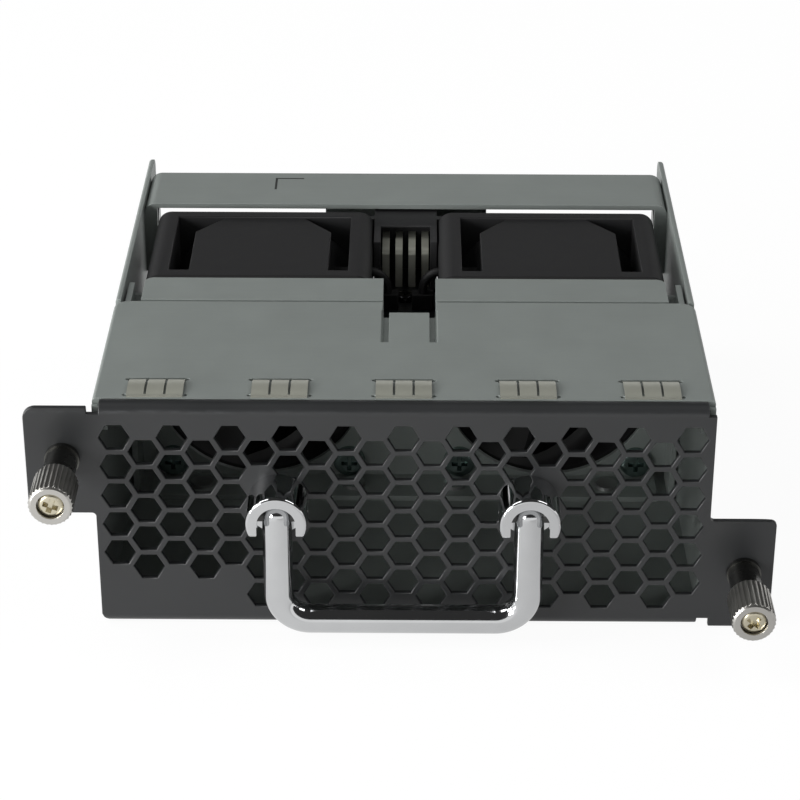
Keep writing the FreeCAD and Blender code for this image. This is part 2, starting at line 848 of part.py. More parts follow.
def stator_windings(x):
    """A coil round each pole's neck."""
    front = core_front()
    rear = front + core_depth
    inner = bearing_tube_radius() + core_ring_wall + coil_gap
    outer = core_outer() - pole_shoe_depth - coil_gap
    reach = pole_width / 2 + coil_wall
    outside = block(inner, outer, front - coil_wall, rear + coil_wall, -reach, reach)
    neck = pole_width / 2 + fit
    hole = block(inner - cut_past, outer + cut_past, front - fit, rear + fit, -neck, neck)
    coil = outside.cut(hole)
    ends = (front - coil_wall - cut_past, rear + coil_wall + cut_past)
    coil = coil.cut(rod_y(0, 0, inner + fit, *ends))
    coil = coil.common(rod_y(0, 0, outer - fit, *ends))
    coils = []
    for i in range(pole_count):
        copy = coil.copy()
        copy.rotate(V(0, 0, 0), Y_AXIS, pole_angle + 360 * i / pole_count)
        copy.translate(V(x, 0, fan_z))
        coils.append(copy)
    return Part.makeCompound(coils)


def motor_board(x):
    rear = fan_rear - motor_base_depth
    return tube_y(x, fan_z, core_outer() + magnet_wall, bearing_tube_radius() + fit,
                  rear - motor_board_thickness, rear)


# Connector, control board and leads

def housing_half_width():
    return fan_gap / 2 - housing_side_gap


def standoff_y():
    return housing_front - standoff_reach


def contact_places():
    middle = (contact_count - 1) / 2
    return [(i - middle) * contact_pitch for i in range(contact_count)]


def connector_housing():
    """Block on the board: two arms beside a roofed mouth, a flange behind the fans, a socket to the rear."""
    half = housing_half_width()
    rear = bridge_rear + housing_overhang
    body = block(-half, half, housing_front - housing_arm_length, rear, board_top, housing_top)
    recess = housing_recess_width / 2
    body = body.cut(block(-recess, recess, housing_front - housing_arm_length - cut_past, housing_front,
                          board_top - cut_past, housing_top + cut_past))
    body = body.cut(block(-recess, recess, housing_front - cut_past, housing_front + housing_mouth_depth,
                          board_top - cut_past, housing_top - housing_roof))
    flange_front = fan_rear + housing_flange_gap
    flange_half = half + housing_flange_reach
    body = joined(body, block(-flange_half, flange_half, flange_front, flange_front + housing_flange,
                              board_top, housing_top))
    socket = block(-half + socket_wall, half - socket_wall, rear - socket_depth, rear + cut_past,
                   board_top + socket_wall, housing_top - socket_wall)
    body = body.cut(socket)
    slots = []
    for x in contact_places():
        reach = contact_width / 2 + fit
        level = housing_top - contact_drop_below_top
        slots.append(block(x - reach, x + reach, housing_front - cut_past, rear - socket_depth + cut_past,
                           level - contact_width - fit, level + fit))
    return body.cut(Part.makeCompound(slots))


def connector_contacts():
    """Flat pins from the socket, out of the front and down to the board in one bend."""
    contacts = []
    level = housing_top - contact_drop_below_top
    rear = bridge_rear + housing_overhang - contact_setback
    front = housing_front - contact_run
    for x in contact_places():
        half = contact_width / 2
        under = level - contact_width
        back = front + contact_width
        outline = [V(x - half, front, board_top), V(x - half, front, level), V(x - half, rear, level),
                   V(x - half, rear, under), V(x - half, back, under), V(x - half, back, board_top)]
        pin = prism(outline, V(contact_width, 0, 0))
        outer = edges_along(pin, X_AXIS, lambda p: near(p.y, front) and near(p.z, level))
        contacts.append(pin.makeFillet(contact_bend, outer))
    return Part.makeCompound(contacts)


def control_board():
    half = housing_half_width()
    front = fan_front + board_front_gap
    board = block(-half, half, front, bridge_rear - sheet - seam, board_bottom, board_top)
    return board.cut(rod_z(0, standoff_y(), board_screw_radius + fit, board_bottom - cut_past,
                           board_top + cut_past))


def board_standoff():
    """Round post riveted into the floor, tapped at its top."""
    y = standoff_y()
    post = rod_z(0, y, standoff_radius, sheet, board_bottom)
    post = joined(post, rod_z(0, y, stud_radius, 0, sheet))
    return post.cut(rod_z(0, y, board_screw_radius + fit, board_bottom - board_screw_depth - fit,
                          board_bottom + cut_past))


def board_screw():
    y = standoff_y()
    head = rod_z(0, y, board_screw_head_radius, board_top, board_top + board_screw_head)
    head = head.makeFillet(board_screw_round, round_edges(head, Z_AXIS, board_top + board_screw_head))
    return joined(head, rod_z(0, y, board_screw_radius, board_bottom - board_screw_depth, board_top))


def header_y():
    return standoff_y() - board_screw_head_radius - header_gap - header_depth / 2


def lead_header(side):
    x = side * header_spacing / 2
    half = header_width / 2
    body = block(x - half, x + half, header_y() - header_depth / 2, header_y() + header_depth / 2, board_top,
                 board_top + header_height)
    return body.makeFillet(header_corner, edges_along(body, Z_AXIS, lambda p: True))


def fan_lead(side):
    """From the barrel of the fan, over and down into its header on the board."""
    y = header_y()
    x_end = side * header_spacing / 2
    rise = lead_height - lead_radius - fan_z
    x_start = side * (fan_x - math.sqrt(barrel_outer ** 2 - rise ** 2) - fit)
    towards = -side
    top = board_top + header_height
    corner = lead_bend / math.sqrt(2)
    run = Part.LineSegment(V(x_start, y, lead_height), V(x_end - towards * lead_bend, y, lead_height))
    arc = Part.Arc(V(x_end - towards * lead_bend, y, lead_height),
                   V(x_end - towards * (lead_bend - corner), y, lead_height - lead_bend + corner),
                   V(x_end, y, lead_height - lead_bend))
    drop = Part.LineSegment(V(x_end, y, lead_height - lead_bend), V(x_end, y, top))
    path = Part.Wire([run.toShape(), arc.toShape(), drop.toShape()])
    ring = Part.Wire(Part.Circle(V(x_start, y, lead_height), X_AXIS, lead_radius).toShape())
    return path.makePipeShell([ring], True, True)


# Bail handle

def pivot_y():
    return -pivot_reach


def handle_post(side):
    """Round post slotted for the bail: an arch above, with a short tine down each side."""
    x = side * post_spacing / 2
    half = post_slot_width / 2
    post = rod_y(x, post_height, post_radius, -post_length, 0)
    post = post.makeFillet(post_rim, round_edges(post, Y_AXIS, -post_length))
    slot_back = pivot_y() + rod_radius + rod_end_gap
    slot_front = -post_length - cut_past
    slot = rod_y(x, post_height, half, slot_front, slot_back)
    slot = slot.fuse(block(x - half, x + half, slot_front, slot_back, post_height - 2 * post_radius,
                           post_height))
    tine_end = post_height - tine_drop
    post = post.cut(slot)
    post = post.cut(block(x - 2 * post_radius, x + 2 * post_radius, slot_front, slot_back,
                          post_height - 2 * post_radius, tine_end))
    post = post.makeFillet(tine_round, edges_along(post, Y_AXIS, lambda p: near(p.z, tine_end)))
    post = post.cut(rod_x(pivot_y(), post_height, pin_radius + fit, x - 2 * post_radius, x + 2 * post_radius))
    return post.cut(rod_y(x, post_height, post_screw_radius + fit, -post_screw_depth - fit, cut_past))


def handle_pin(side):
    """Pin across the post's slot, just short of the post's outer faces."""
    x = side * post_spacing / 2
    reach = post_radius - pin_inset
    return rod_x(pivot_y(), post_height, pin_radius, x - reach, x + reach)


def handle_post_screws():
    screws = []
    for _, side in SIDES:
        x = side * post_spacing / 2
        head = rod_y(x, post_height, post_screw_head_radius, sheet, sheet + post_screw_head)
        screws.append(joined(head, rod_y(x, post_height, post_screw_radius, -post_screw_depth, sheet)))
    return Part.makeCompound(screws)


def handle_bail():
    """Bent round rod with ball ends on the pins."""
    y = pivot_y()
    x = post_spacing / 2
    low = bail_ground_gap + rod_radius
    corner = bail_corner / math.sqrt(2)
    legs = [Part.LineSegment(V(-x, y, post_height), V(-x, y, low + bail_corner)),
            Part.Arc(V(-x, y, low + bail_corner), V(-x + bail_corner - corner, y, low + bail_corner - corner),
                     V(-x + bail_corner, y, low)),
            Part.LineSegment(V(-x + bail_corner, y, low), V(x - bail_corner, y, low)),
            Part.Arc(V(x - bail_corner, y, low), V(x - bail_corner + corner, y, low + bail_corner - corner),
                     V(x, y, low + bail_corner)),
            Part.LineSegment(V(x, y, low + bail_corner), V(x, y, post_height))]
    path = Part.Wire([leg.toShape() for leg in legs])
    ring = Part.Wire(Part.Circle(V(-x, y, post_height), V(0, 0, -1), rod_radius).toShape())
    bail = path.makePipeShell([ring], True, True)
    for side in (-1, 1):
        bail = bail.fuse(Part.makeSphere(rod_radius, V(side * x, y, post_height)))
    holes = [rod_x(y, post_height, pin_radius + pin_running_gap, side * x - 2 * rod_radius,
                   side * x + 2 * rod_radius) for side in (-1, 1)]
    return bail.cut(Part.makeCompound(holes)).removeSplitter()


# Captive thumbscrews

def screw_ferrule(x, z):
    """Sleeve pressed into the ear; its rear lip keeps the thread from being drawn out."""
    front = cavity_end + washer_gap + washer_thickness + screw_travel + ferrule_stop_gap
    sleeve = rod_y(x, z, ferrule_radius, front, sheet)
    sleeve = joined(sleeve, rod_y(x, z, ferrule_shoulder_radius, -ferrule_shoulder, 0))
    sleeve = sleeve.cut(rod_y(x, z, ferrule_radius - ferrule_wall, front - cut_past, sheet - ferrule_lip))
    return sleeve.cut(rod_y(x, z, screw_neck_radius + spring_gap, front, sheet + cut_past))


def screw_spring(x, z):
    """Helical spring of many-sided wire, from the ferrule's lip to the thrust washer."""
    front = cavity_end + washer_gap + washer_thickness + spring_wire / 2 + fit
    rear = sheet - ferrule_lip - spring_wire / 2 - fit
    radius = screw_neck_radius + spring_gap + spring_wire / 2
    height = rear - front
    helix = Part.makeHelix(height / spring_turns, height, radius)
    angles = [2 * math.pi * i / spring_wire_sides for i in range(spring_wire_sides)]
    corners = [V(radius + spring_wire / 2 * math.cos(a), 0, spring_wire / 2 * math.sin(a)) for a in angles]
    section = Part.makePolygon(corners + corners[:1])
    coil = Part.Wire(helix).makePipeShell([section], True, True)
    coil.rotate(V(0, 0, 0), X_AXIS, -90)
    coil.translate(V(x, front, z))
    return coil


def screw_washer(x, z):
    front = cavity_end + washer_gap
    return tube_y(x, z, knob_bore_radius - spring_gap, screw_neck_radius + washer_bore_gap,
                  front, front + washer_thickness)


def thumbscrew_knob(x, z):
    """Knurled sleeve with a web; the screw's head sits in its front recess."""
    front = -knob_front
    rear = -knob_standoff
    knob = rod_y(x, z, knob_radius, front, rear)
    knob = knob.makeChamfer(knob_chamfer, round_edges(knob, Y_AXIS, front) + round_edges(knob, Y_AXIS, rear))
    grooves = []
    for i in range(knurl_count):
        angle = math.radians(360 * i / knurl_count)
        reach = knob_radius + knurl_groove_radius - knurl_depth
        grooves.append(rod_y(x + reach * math.cos(angle), z + reach * math.sin(angle), knurl_groove_radius,
                             front - cut_past, rear + cut_past))
    knob = knob.cut(Part.makeCompound(grooves))
    knob = knob.cut(rod_y(x, z, knob_recess_radius, front - cut_past, front + knob_recess))
    knob = knob.cut(rod_y(x, z, knob_bore_radius, cavity_end, rear + cut_past))
    return knob.cut(rod_y(x, z, screw_neck_radius + fit, front, cavity_end + cut_past))


def thumbscrew_screw(x, z):
    """Cross-recess head, slim neck and a full thread behind the ferrule's lip."""
    seat = -knob_front + knob_recess
    head = rod_y(x, z, screw_head_radius, seat - screw_head, seat)
    top = seat - screw_head
    head = head.makeFillet(screw_head_round, round_edges(head, Y_AXIS, top))
    for dx, dz in ((recess_reach, recess_half_width), (recess_half_width, recess_reach)):
        head = head.cut(block(x - dx, x + dx, top - cut_past, top + recess_depth, z - dz, z + dz))
    thread_front = sheet + thread_gap
    neck = rod_y(x, z, screw_neck_radius, seat, thread_front)
    thread = rod_y(x, z, thread_radius, thread_front, thread_front + thread_length)
    tip = round_edges(thread, Y_AXIS, thread_front + thread_length)
    thread = thread.makeChamfer(thread_radius - screw_neck_radius, tip)
    return joined(head, neck, thread)


# All nodes

nodes["front_panel"] = front_panel()
nodes["base_tray"] = base_tray()
nodes["top_cover"] = top_cover()
nodes["fan_bracket"] = fan_bracket()
nodes["rear_bridge"] = rear_bridge()
nodes["cover_rivets"] = wall_rivets(cover_rivet_places())
nodes["bridge_rivets"] = wall_rivets(bridge_rivet_places())
nodes["bracket_rivets"] = floor_rivets()
nodes["fan_screws"] = fan_screws()
for number, place in enumerate(clip_places(), 1):
    nodes["grounding_clip_%d" % number] = grounding_clip(place)

for name, side in SIDES:
    centre = side * fan_x
    nodes["fan_frame_" + name] = fan_frame(centre)
    nodes["fan_gasket_" + name] = fan_seal(centre)
    nodes["fan_impeller_" + name] = impeller(centre)
    nodes["fan_shaft_" + name] = fan_shaft(centre)
    nodes["rotor_yoke_" + name] = rotor_yoke(centre)
    nodes["rotor_magnet_" + name] = rotor_magnet(centre)
    nodes["fan_bearings_" + name] = fan_bearings(centre)
    nodes["stator_core_" + name] = stator_core(centre)
    nodes["stator_windings_" + name] = stator_windings(centre)
    nodes["motor_board_" + name] = motor_board(centre)
    nodes["fan_lead_" + name] = fan_lead(side)
    nodes["lead_header_" + name] = lead_header(side)
    nodes["handle_post_" + name] = handle_post(side)
    nodes["handle_pin_" + name] = handle_pin(side)
    nodes["screw_ferrule_" + name] = screw_ferrule(*screw_axis(name))
    nodes["screw_spring_" + name] = screw_spring(*screw_axis(name))
    nodes["screw_washer_" + name] = screw_washer(*screw_axis(name))
    nodes["thumbscrew_knob_" + name] = thumbscrew_knob(*screw_axis(name))
    nodes["thumbscrew_screw_" + name] = thumbscrew_screw(*screw_axis(name))

nodes["handle_bail"] = handle_bail()
nodes["handle_post_screws"] = handle_post_screws()
nodes["connector_housing"] = connector_housing()
nodes["connector_contacts"] = connector_contacts()
nodes["control_board"] = control_board()
nodes["board_standoff"] = board_standoff()
nodes["board_screw"] = board_screw()

os.makedirs("parts", exist_ok=True)
for name, shape in nodes.items():
    shape.translate(V(0, 0, 0) - origin)
    shape.exportStep("parts/" + name + ".step")
    print("%-24s solids %d  valid %s  volume %.1f"
          % (name, len(shape.Solids), shape.isValid(), shape.Volume))
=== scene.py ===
"""Looks of a slide-in rack fan tray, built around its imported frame."""

import json
import math

import bmesh
import bpy
from bpy.props import FloatProperty, FloatVectorProperty, IntProperty, PointerProperty
from mathutils import Matrix, Vector


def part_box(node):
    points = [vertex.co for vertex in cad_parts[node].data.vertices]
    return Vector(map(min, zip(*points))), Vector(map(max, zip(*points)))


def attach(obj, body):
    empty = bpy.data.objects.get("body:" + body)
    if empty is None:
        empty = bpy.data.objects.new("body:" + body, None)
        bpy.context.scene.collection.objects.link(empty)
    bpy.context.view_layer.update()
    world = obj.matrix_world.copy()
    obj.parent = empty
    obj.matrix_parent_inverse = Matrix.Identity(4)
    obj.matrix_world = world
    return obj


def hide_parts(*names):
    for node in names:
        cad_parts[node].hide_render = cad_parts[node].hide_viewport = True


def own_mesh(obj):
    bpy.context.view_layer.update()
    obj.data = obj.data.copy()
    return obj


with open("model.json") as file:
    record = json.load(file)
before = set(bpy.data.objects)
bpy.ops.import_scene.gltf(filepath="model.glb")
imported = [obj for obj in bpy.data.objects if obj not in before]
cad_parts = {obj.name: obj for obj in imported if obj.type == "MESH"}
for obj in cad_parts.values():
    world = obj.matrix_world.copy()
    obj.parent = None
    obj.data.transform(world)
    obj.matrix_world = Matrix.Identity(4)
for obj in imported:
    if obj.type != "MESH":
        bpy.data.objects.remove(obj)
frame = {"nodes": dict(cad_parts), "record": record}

bl_info = {
    "name": "Fan tray looks",
    "version": (1, 0, 0),
    "blender": (4, 5, 0),
    "location": "3D View > Sidebar > Fan tray",
    "description": "Finishes and fine pieces of a slide-in rack fan tray",
    "category": "Object",
}

MM = 0.001
SIDES = ("left", "right")
NODES = frame["nodes"]
RECORD = frame["record"]
BODY_OF = {node: body for body, nodes in RECORD["behaviour"]["bodies"].items() for node in nodes}
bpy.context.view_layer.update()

# Points this near are one point: in a node's loose triangles, and in a turned piece.
LOOSE_MERGE = 0.001 * MM
TURNED_MERGE = 0.0005 * MM
# Edges shorter than this would spoil a rounding, and faces that meet flatter than this are one face.
SLIVER = 0.03 * MM
FLAT = math.radians(0.5)
# Edges sharper than this are rounded.
SHARP = math.radians(40)
# Two steps of a rounding across a right angle meet at 45 degrees, and are shaded as one curve.
CURVED = math.radians(50)
CREASED = math.radians(30)
# Shares of a screw head: its crown's height, and the radius that is left at the crown's top.
HEAD_CROWN = 0.6
CROWN_TOP = 0.55
# Shares of the captive screws' radius and of their thread's pitch.
THREAD_RADIUS = 0.73
THREAD_FLANK = 0.4
THREAD_LAND = 0.1
THREAD_SIDES = 32
# How far each captive screw happens to be turned.
SCREW_TURNS = (0.35, 0.7)

# Each lamp's name, place, size in metres and power in watts.
LAMPS = (("key_softbox", (-0.85, -0.31, 0.4), 0.3, 3.6),
         ("left_softbox", (-0.6, 0.05, 0.8), 0.45, 3.25),
         ("right_softbox", (0.6, 0.05, 0.8), 0.45, 2.0),
         ("front_softbox", (-0.72, -0.75, 0.28), 0.3, 5.5),
         ("low_softbox", (-0.9, -0.5, 0.06), 0.15, 4.0))
LAMP_TARGET = (0, 0, 0.02)
# How strongly the white surround lights the part, and how much of the floor's look is its own white.
SURROUND = 0.36
FLOOR_WHITE = 0.94
FLOOR_SIZE = 6
FLOOR_GAP = 0.2 * MM
CEILING_PLACE = (0, 0.6, 1.0)
CEILING_SIZE = (10, 6.7, 1)
SENSOR_WIDTH = 36
NEAREST_SEEN = 0.01


def linear(code):
    """Linear red, green and blue of an sRGB hex colour."""
    channels = [int(code[i:i + 2], 16) / 255 for i in (1, 3, 5)]
    return [c / 12.92 if c <= 0.04045 else ((c + 0.055) / 1.055) ** 2.4 for c in channels]


def length(name, description, millimetres):
    """A size in metres that a user can change."""
    return FloatProperty(name=name, description=description, default=millimetres * MM, min=0, precision=5,
                         unit="LENGTH")


def colour(name, description, code):
    """A colour that a user can change."""
    return FloatVectorProperty(name=name, description=description, default=linear(code), size=3, min=0, max=1,
                               subtype="COLOR")


# What a user can change

class FanTraySizes(bpy.types.PropertyGroup):
    """Sizes of the fine pieces."""
    sheet_edge: length("Sheet edge", "Rounding of deburred sheet edges", 0.08)
    painted_edge: length("Painted edge", "Rounding of the front panel's edges under their paint", 0.2)
    moulded_edge: length("Moulded edge", "Rounding of the fans' and the connector's edges", 0.22)
    turned_edge: length("Turned edge", "Rounding of the knobs' edges", 0.06)
    captive_neck: length("Captive neck", "Radius of the captive screws' slim neck", 1.1)
    captive_head: length("Captive head", "Height of the captive screws' heads", 1.1)
    thread_length: length("Thread length", "Length of the captive screws' thread", 5.0)
    screw_travel: length("Screw travel", "How far a captive screw is pushed in against its spring", 4.5)
    thread_pitch: length("Thread pitch", "Pitch of the captive screws' thread", 0.5)
    thread_depth: length("Thread depth", "Depth of the captive screws' thread", 0.27)
    fan_hole_inset: length("Fan hole inset", "From a fan's side to the axis of its screws", 4.0)
    fan_head: length("Fan screw head", "Height of the fan screws' heads", 1.5)
    fan_shank: length("Fan screw shank", "Radius of the fan screws' shanks", 1.7)
    fan_head_radius: length("Fan screw head radius", "Radius of the fan screws' heads", 2.9)
    post_head: length("Post screw head", "Height of the post screws' heads", 1.6)
    post_shank: length("Post screw shank", "Radius of the post screws' shanks", 1.5)
    post_head_radius: length("Post screw head radius", "Radius of the post screws' heads", 2.7)
    board_head: length("Board screw head", "Height of the board screw's head", 1.2)
    board_shank: length("Board screw shank", "Radius of the board screw's shank", 1.2)
    mark_arm: length("Mark arm", "Length of each arm of the corner mark on the bridge", 5.0)
    mark_line: length("Mark line", "Width of the corner mark's line", 0.4)
    mark_ink: length("Mark ink", "Thickness of the corner mark's ink", 0.02)
    mark_reach: length("Mark reach", "From the middle of the bridge to the corner mark", 24.7)
    mark_margin: length("Mark margin", "From the bridge's rear edge to the corner mark", 2.7)
    round_steps: IntProperty(name="Round steps", description="Sides of a turned piece", default=48, min=12)


class FanTrayColours(bpy.types.PropertyGroup):
    """Colours of the finishes."""
    sheet: colour("Plated sheet", "Passivated zinc on the box", "#878D8A")
    panel: colour("Front panel", "Powder coat of the front panel", "#252627")
    fan: colour("Fans", "Moulded plastic of frames and impellers", "#1C1C1D")
    connector: colour("Connector", "Moulded plastic of the connector", "#262627")
    chrome: colour("Handle", "Chrome of the bail and its posts", "#CBCCCD")
    nickel: colour("Knobs", "Nickel of the knurled knobs", "#C0BEB9")
    screw: colour("Screws", "Yellow-tinted zinc of the captive screws", "#CFC8B2")
    fan_screw: colour("Fan screws", "Blue-green passivated zinc of the fan screws", "#8FA09C")
    black_oxide: colour("Black screw", "Black oxide of the board's screw", "#232324")
    clip: colour("Clips", "Tin on the grounding clips", "#A6A79C")
    steel: colour("Bare steel", "Ground and drawn steel pieces", "#A8A9A8")
    copper: colour("Copper", "Enamelled copper wire", "#9A4F22")
    board: colour("Board", "Solder mask of the boards", "#0B0D0E")


class FanTrayStage(bpy.types.PropertyGroup):
    """Where the camera stands."""
    lens: FloatProperty(name="Lens", description="Focal length", default=114.47, unit="CAMERA")
    place: FloatVectorProperty(name="Place", description="Where the camera stands", size=3, unit="LENGTH",
                               default=(0.00119, -0.401105, 0.23143))
    pitch: FloatProperty(name="Pitch", description="How far the camera looks down",
                         default=math.radians(27.911), unit="ROTATION")
    yaw: FloatProperty(name="Yaw", description="How far the camera looks to the left",
                       default=math.radians(0.285), unit="ROTATION")
    roll: FloatProperty(name="Roll", description="How far the camera leans", default=math.radians(0.156),
                        unit="ROTATION")


def sizes():
    """The scene's sizes."""
    return bpy.context.scene.fan_tray_sizes


def colours():
    """The scene's colours."""
    return bpy.context.scene.fan_tray_colours


# Nodes and materials

def cells(millimetres):
    """Texture scale whose features are about this large."""
    return 1 / (millimetres * MM)


def add(tree, kind, inputs=(), **settings):
    """Adds a node with its settings, and sets each input or links another node's output to it."""
    made = tree.nodes.new("ShaderNode" + kind)
    for name, value in settings.items():
        setattr(made, name, value)
    for key, value in dict(inputs).items():
        if isinstance(value, bpy.types.NodeSocket):
            tree.links.new(value, made.inputs[key])
        else:
            made.inputs[key].default_value = value
    return made


def shades(base, *factors):
    """The base colour and its lighter or darker versions, with alpha."""
    return [[min(1, channel * factor) for channel in base] + [1] for factor in factors]


def emptied(owner):
    """The cleared node tree of a material or world."""
    owner.use_nodes = True
    owner.node_tree.nodes.clear()
    return owner.node_tree


def started(name):
    """A new material with its tree, its surface shader and its object coordinates."""
    made = bpy.data.materials.new(name)
    tree = emptied(made)
    shader = add(tree, "BsdfPrincipled")
    add(tree, "OutputMaterial", {"Surface": shader.outputs[0]})
    return made, tree, shader, add(tree, "TexCoord").outputs["Object"]


def dress(tree, shader, fixed, linked):
    """Sets a shader's plain values and links its patterns."""
    for key, value in fixed.items():
        shader.inputs[key].default_value = value
    for key, socket in linked.items():
        tree.links.new(socket, shader.inputs[key])


def plated_sheet():
    """Zinc-plated sheet steel, passivated: matt grey-green metal, faintly clouded, with rolling lines."""
    made, tree, shader, place = started("zinc_plated_sheet")
    dark, light = shades(colours().sheet, 0.95, 1.05)
    clouds = add(tree, "TexNoise", {"Vector": place, "Scale": cells(9), "Detail": 4, "Roughness": 0.6})
    rolled = add(tree, "Mapping", {"Vector": place, "Scale": (0.03, 1, 1)})
    lines = add(tree, "TexNoise", {"Vector": rolled.outputs[0], "Scale": cells(0.35), "Detail": 2})
    grain = add(tree, "TexNoise", {"Vector": place, "Scale": cells(0.22), "Detail": 1})
    both = add(tree, "Mix", {0: 0.25, 2: clouds.outputs[0], 3: lines.outputs[0]}, data_type="FLOAT")
    spread = add(tree, "MapRange", {"Value": both.outputs[0], "From Min": 0.3, "From Max": 0.7})
    tone = add(tree, "Mix", {0: spread.outputs[0], 6: dark, 7: light}, data_type="RGBA")
    rough = add(tree, "MapRange", {"Value": clouds.outputs[0], "To Min": 0.42, "To Max": 0.54})
    bump = add(tree, "Bump", {"Strength": 0.12, "Distance": 0.02 * MM, "Height": grain.outputs[0]})
    dress(tree, shader, {"Metallic": 0.35},
          {"Base Color": tone.outputs[2], "Roughness": rough.outputs[0], "Normal": bump.outputs[0]})
    return made


def powder_coat():
    """Powder coat baked on steel: satin black with a fine orange peel, and a paler patchy band along the top
    bend that is part worn paint and part painted highlight.
    """
    made, tree, shader, place = started("satin_black_powder_coat")
    dark, light, rubbed_and_lit = shades(colours().panel, 0.9, 1.15, 2.4)
    peel = add(tree, "TexNoise", {"Vector": place, "Scale": cells(0.4), "Detail": 2})
    haze = add(tree, "TexNoise", {"Vector": place, "Scale": cells(16), "Detail": 3})
    coated = add(tree, "Mix", {0: haze.outputs[0], 6: dark, 7: light}, data_type="RGBA")
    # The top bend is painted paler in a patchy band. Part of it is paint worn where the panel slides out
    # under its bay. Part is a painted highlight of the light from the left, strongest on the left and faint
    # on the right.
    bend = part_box("front_panel")[1][2] - 1.1 * MM
    parted = add(tree, "SeparateXYZ", {"Vector": place})
    above = add(tree, "MapRange", {"Value": parted.outputs[2], "From Min": bend - 0.4 * MM, "From Max": bend})
    below = add(tree, "MapRange", {"Value": parted.outputs[2], "From Min": bend + 0.4 * MM, "From Max": bend})
    streaks = add(tree, "Mapping", {"Vector": place, "Scale": (0.25, 1, 1)})
    specks = add(tree, "TexNoise", {"Vector": streaks.outputs[0], "Scale": cells(0.7), "Detail": 3})
    patchy = add(tree, "MapRange", {"Value": specks.outputs[0], "From Min": 0.42, "From Max": 0.75})
    band = add(tree, "Math", {0: above.outputs[0], 1: below.outputs[0]}, operation="MULTIPLY")
    left_light_fade = add(tree, "MapRange", {"Value": parted.outputs[0], "From Min": -45 * MM, "From Max": 5 * MM,
                                    "To Min": 1, "To Max": 0.1})
    patchy_band = add(tree, "Math", {0: band.outputs[0], 1: patchy.outputs[0]}, operation="MULTIPLY")
    wear_and_highlight = add(tree, "Math", {0: patchy_band.outputs[0], 1: left_light_fade.outputs[0]}, operation="MULTIPLY")
    tone = add(tree, "Mix", {0: wear_and_highlight.outputs[0], 6: coated.outputs[2], 7: rubbed_and_lit}, data_type="RGBA")
    rough = add(tree, "MapRange", {"Value": haze.outputs[0], "To Min": 0.32, "To Max": 0.42})
    bump = add(tree, "Bump", {"Strength": 0.25, "Distance": 0.02 * MM, "Height": peel.outputs[0]})
    dress(tree, shader, {"IOR": 1.5},
          {"Base Color": tone.outputs[2], "Roughness": rough.outputs[0], "Normal": bump.outputs[0]})
    return made


def moulded_plastic(name, base, gloss, grit):
    """Moulded plastic: black with a spark-eroded grit and slow flow marks in its sheen."""
    made, tree, shader, place = started(name)
    dark, light = shades(base, 0.88, 1.14)
    grains = add(tree, "TexNoise", {"Vector": place, "Scale": cells(grit), "Detail": 2})
    flow = add(tree, "TexNoise", {"Vector": place, "Scale": cells(7), "Detail": 3, "Distortion": 0.6})
    tone = add(tree, "Mix", {0: flow.outputs[0], 6: dark, 7: light}, data_type="RGBA")
    rough = add(tree, "MapRange", {"Value": flow.outputs[0], "To Min": gloss - 0.06, "To Max": gloss + 0.06})
    bump = add(tree, "Bump", {"Strength": 0.3, "Distance": 0.03 * MM, "Height": grains.outputs[0]})
    dress(tree, shader, {"IOR": 1.52, "Specular IOR Level": 0.3},
          {"Base Color": tone.outputs[2], "Roughness": rough.outputs[0], "Normal": bump.outputs[0]})
    return made


def plated_metal(name, base, gloss, spread, grain, unevenness, metallic=1):
    """Plated metal: its gloss varies a little, and the base metal's turning or drawing lines show through."""
    made, tree, shader, place = started(name)
    dark, light = shades(base, 0.93, 1.03)
    stains = add(tree, "TexNoise", {"Vector": place, "Scale": cells(4), "Detail": 4})
    lines = add(tree, "TexNoise", {"Vector": place, "Scale": cells(grain), "Detail": 2})
    tone = add(tree, "Mix", {0: stains.outputs[0], 6: dark, 7: light}, data_type="RGBA")
    rough = add(tree, "MapRange", {"Value": stains.outputs[0], "To Min": gloss, "To Max": gloss + spread})
    bump = add(tree, "Bump", {"Strength": unevenness, "Distance": 0.01 * MM, "Height": lines.outputs[0]})
    dress(tree, shader, {"Metallic": metallic},
          {"Base Color": tone.outputs[2], "Roughness": rough.outputs[0], "Normal": bump.outputs[0]})
    return made


def banded(name, base, metallic, gloss, band, axis, depth):
    """Stacked or wound metal: one groove for each sheet or turn."""
    made, tree, shader, place = started(name)
    dark, light = shades(base, 0.6, 1.1)
    bands = add(tree, "TexWave", {"Vector": place, "Scale": cells(band) / (2 * math.pi), "Distortion": 0.4},
                bands_direction=axis)
    tone = add(tree, "Mix", {0: bands.outputs[1], 6: dark, 7: light}, data_type="RGBA")
    bump = add(tree, "Bump", {"Strength": 0.6, "Distance": depth * MM, "Height": bands.outputs[1]})
    dress(tree, shader, {"Metallic": metallic, "Roughness": gloss},
          {"Base Color": tone.outputs[2], "Normal": bump.outputs[0]})
    return made


def solder_mask():
    """Glass-epoxy board under black solder mask, with tracks that show as paler, raised lines."""
    made, tree, shader, place = started("solder_mask_on_glass_epoxy")
    dark, light = shades(colours().board, 0.8, 1.7)
    tracks = add(tree, "TexBrick", {"Vector": place, "Scale": cells(4), "Mortar Size": 0.06, "Color1": dark,
                                    "Color2": dark, "Mortar": light})
    weave = add(tree, "TexNoise", {"Vector": place, "Scale": cells(0.5)})
    bump = add(tree, "Bump", {"Strength": 0.3, "Distance": 0.03 * MM, "Height": tracks.outputs[1]})
    rough = add(tree, "MapRange", {"Value": weave.outputs[0], "To Min": 0.28, "To Max": 0.4})
    dress(tree, shader, {"IOR": 1.55},
          {"Base Color": tracks.outputs[0], "Roughness": rough.outputs[0], "Normal": bump.outputs[0]})
    return made


# Shaping

def only(piece):
    """Makes a piece the one selected and active object."""
    bpy.ops.object.select_all(action="DESELECT")
    piece.select_set(True)
    bpy.context.view_layer.objects.active = piece


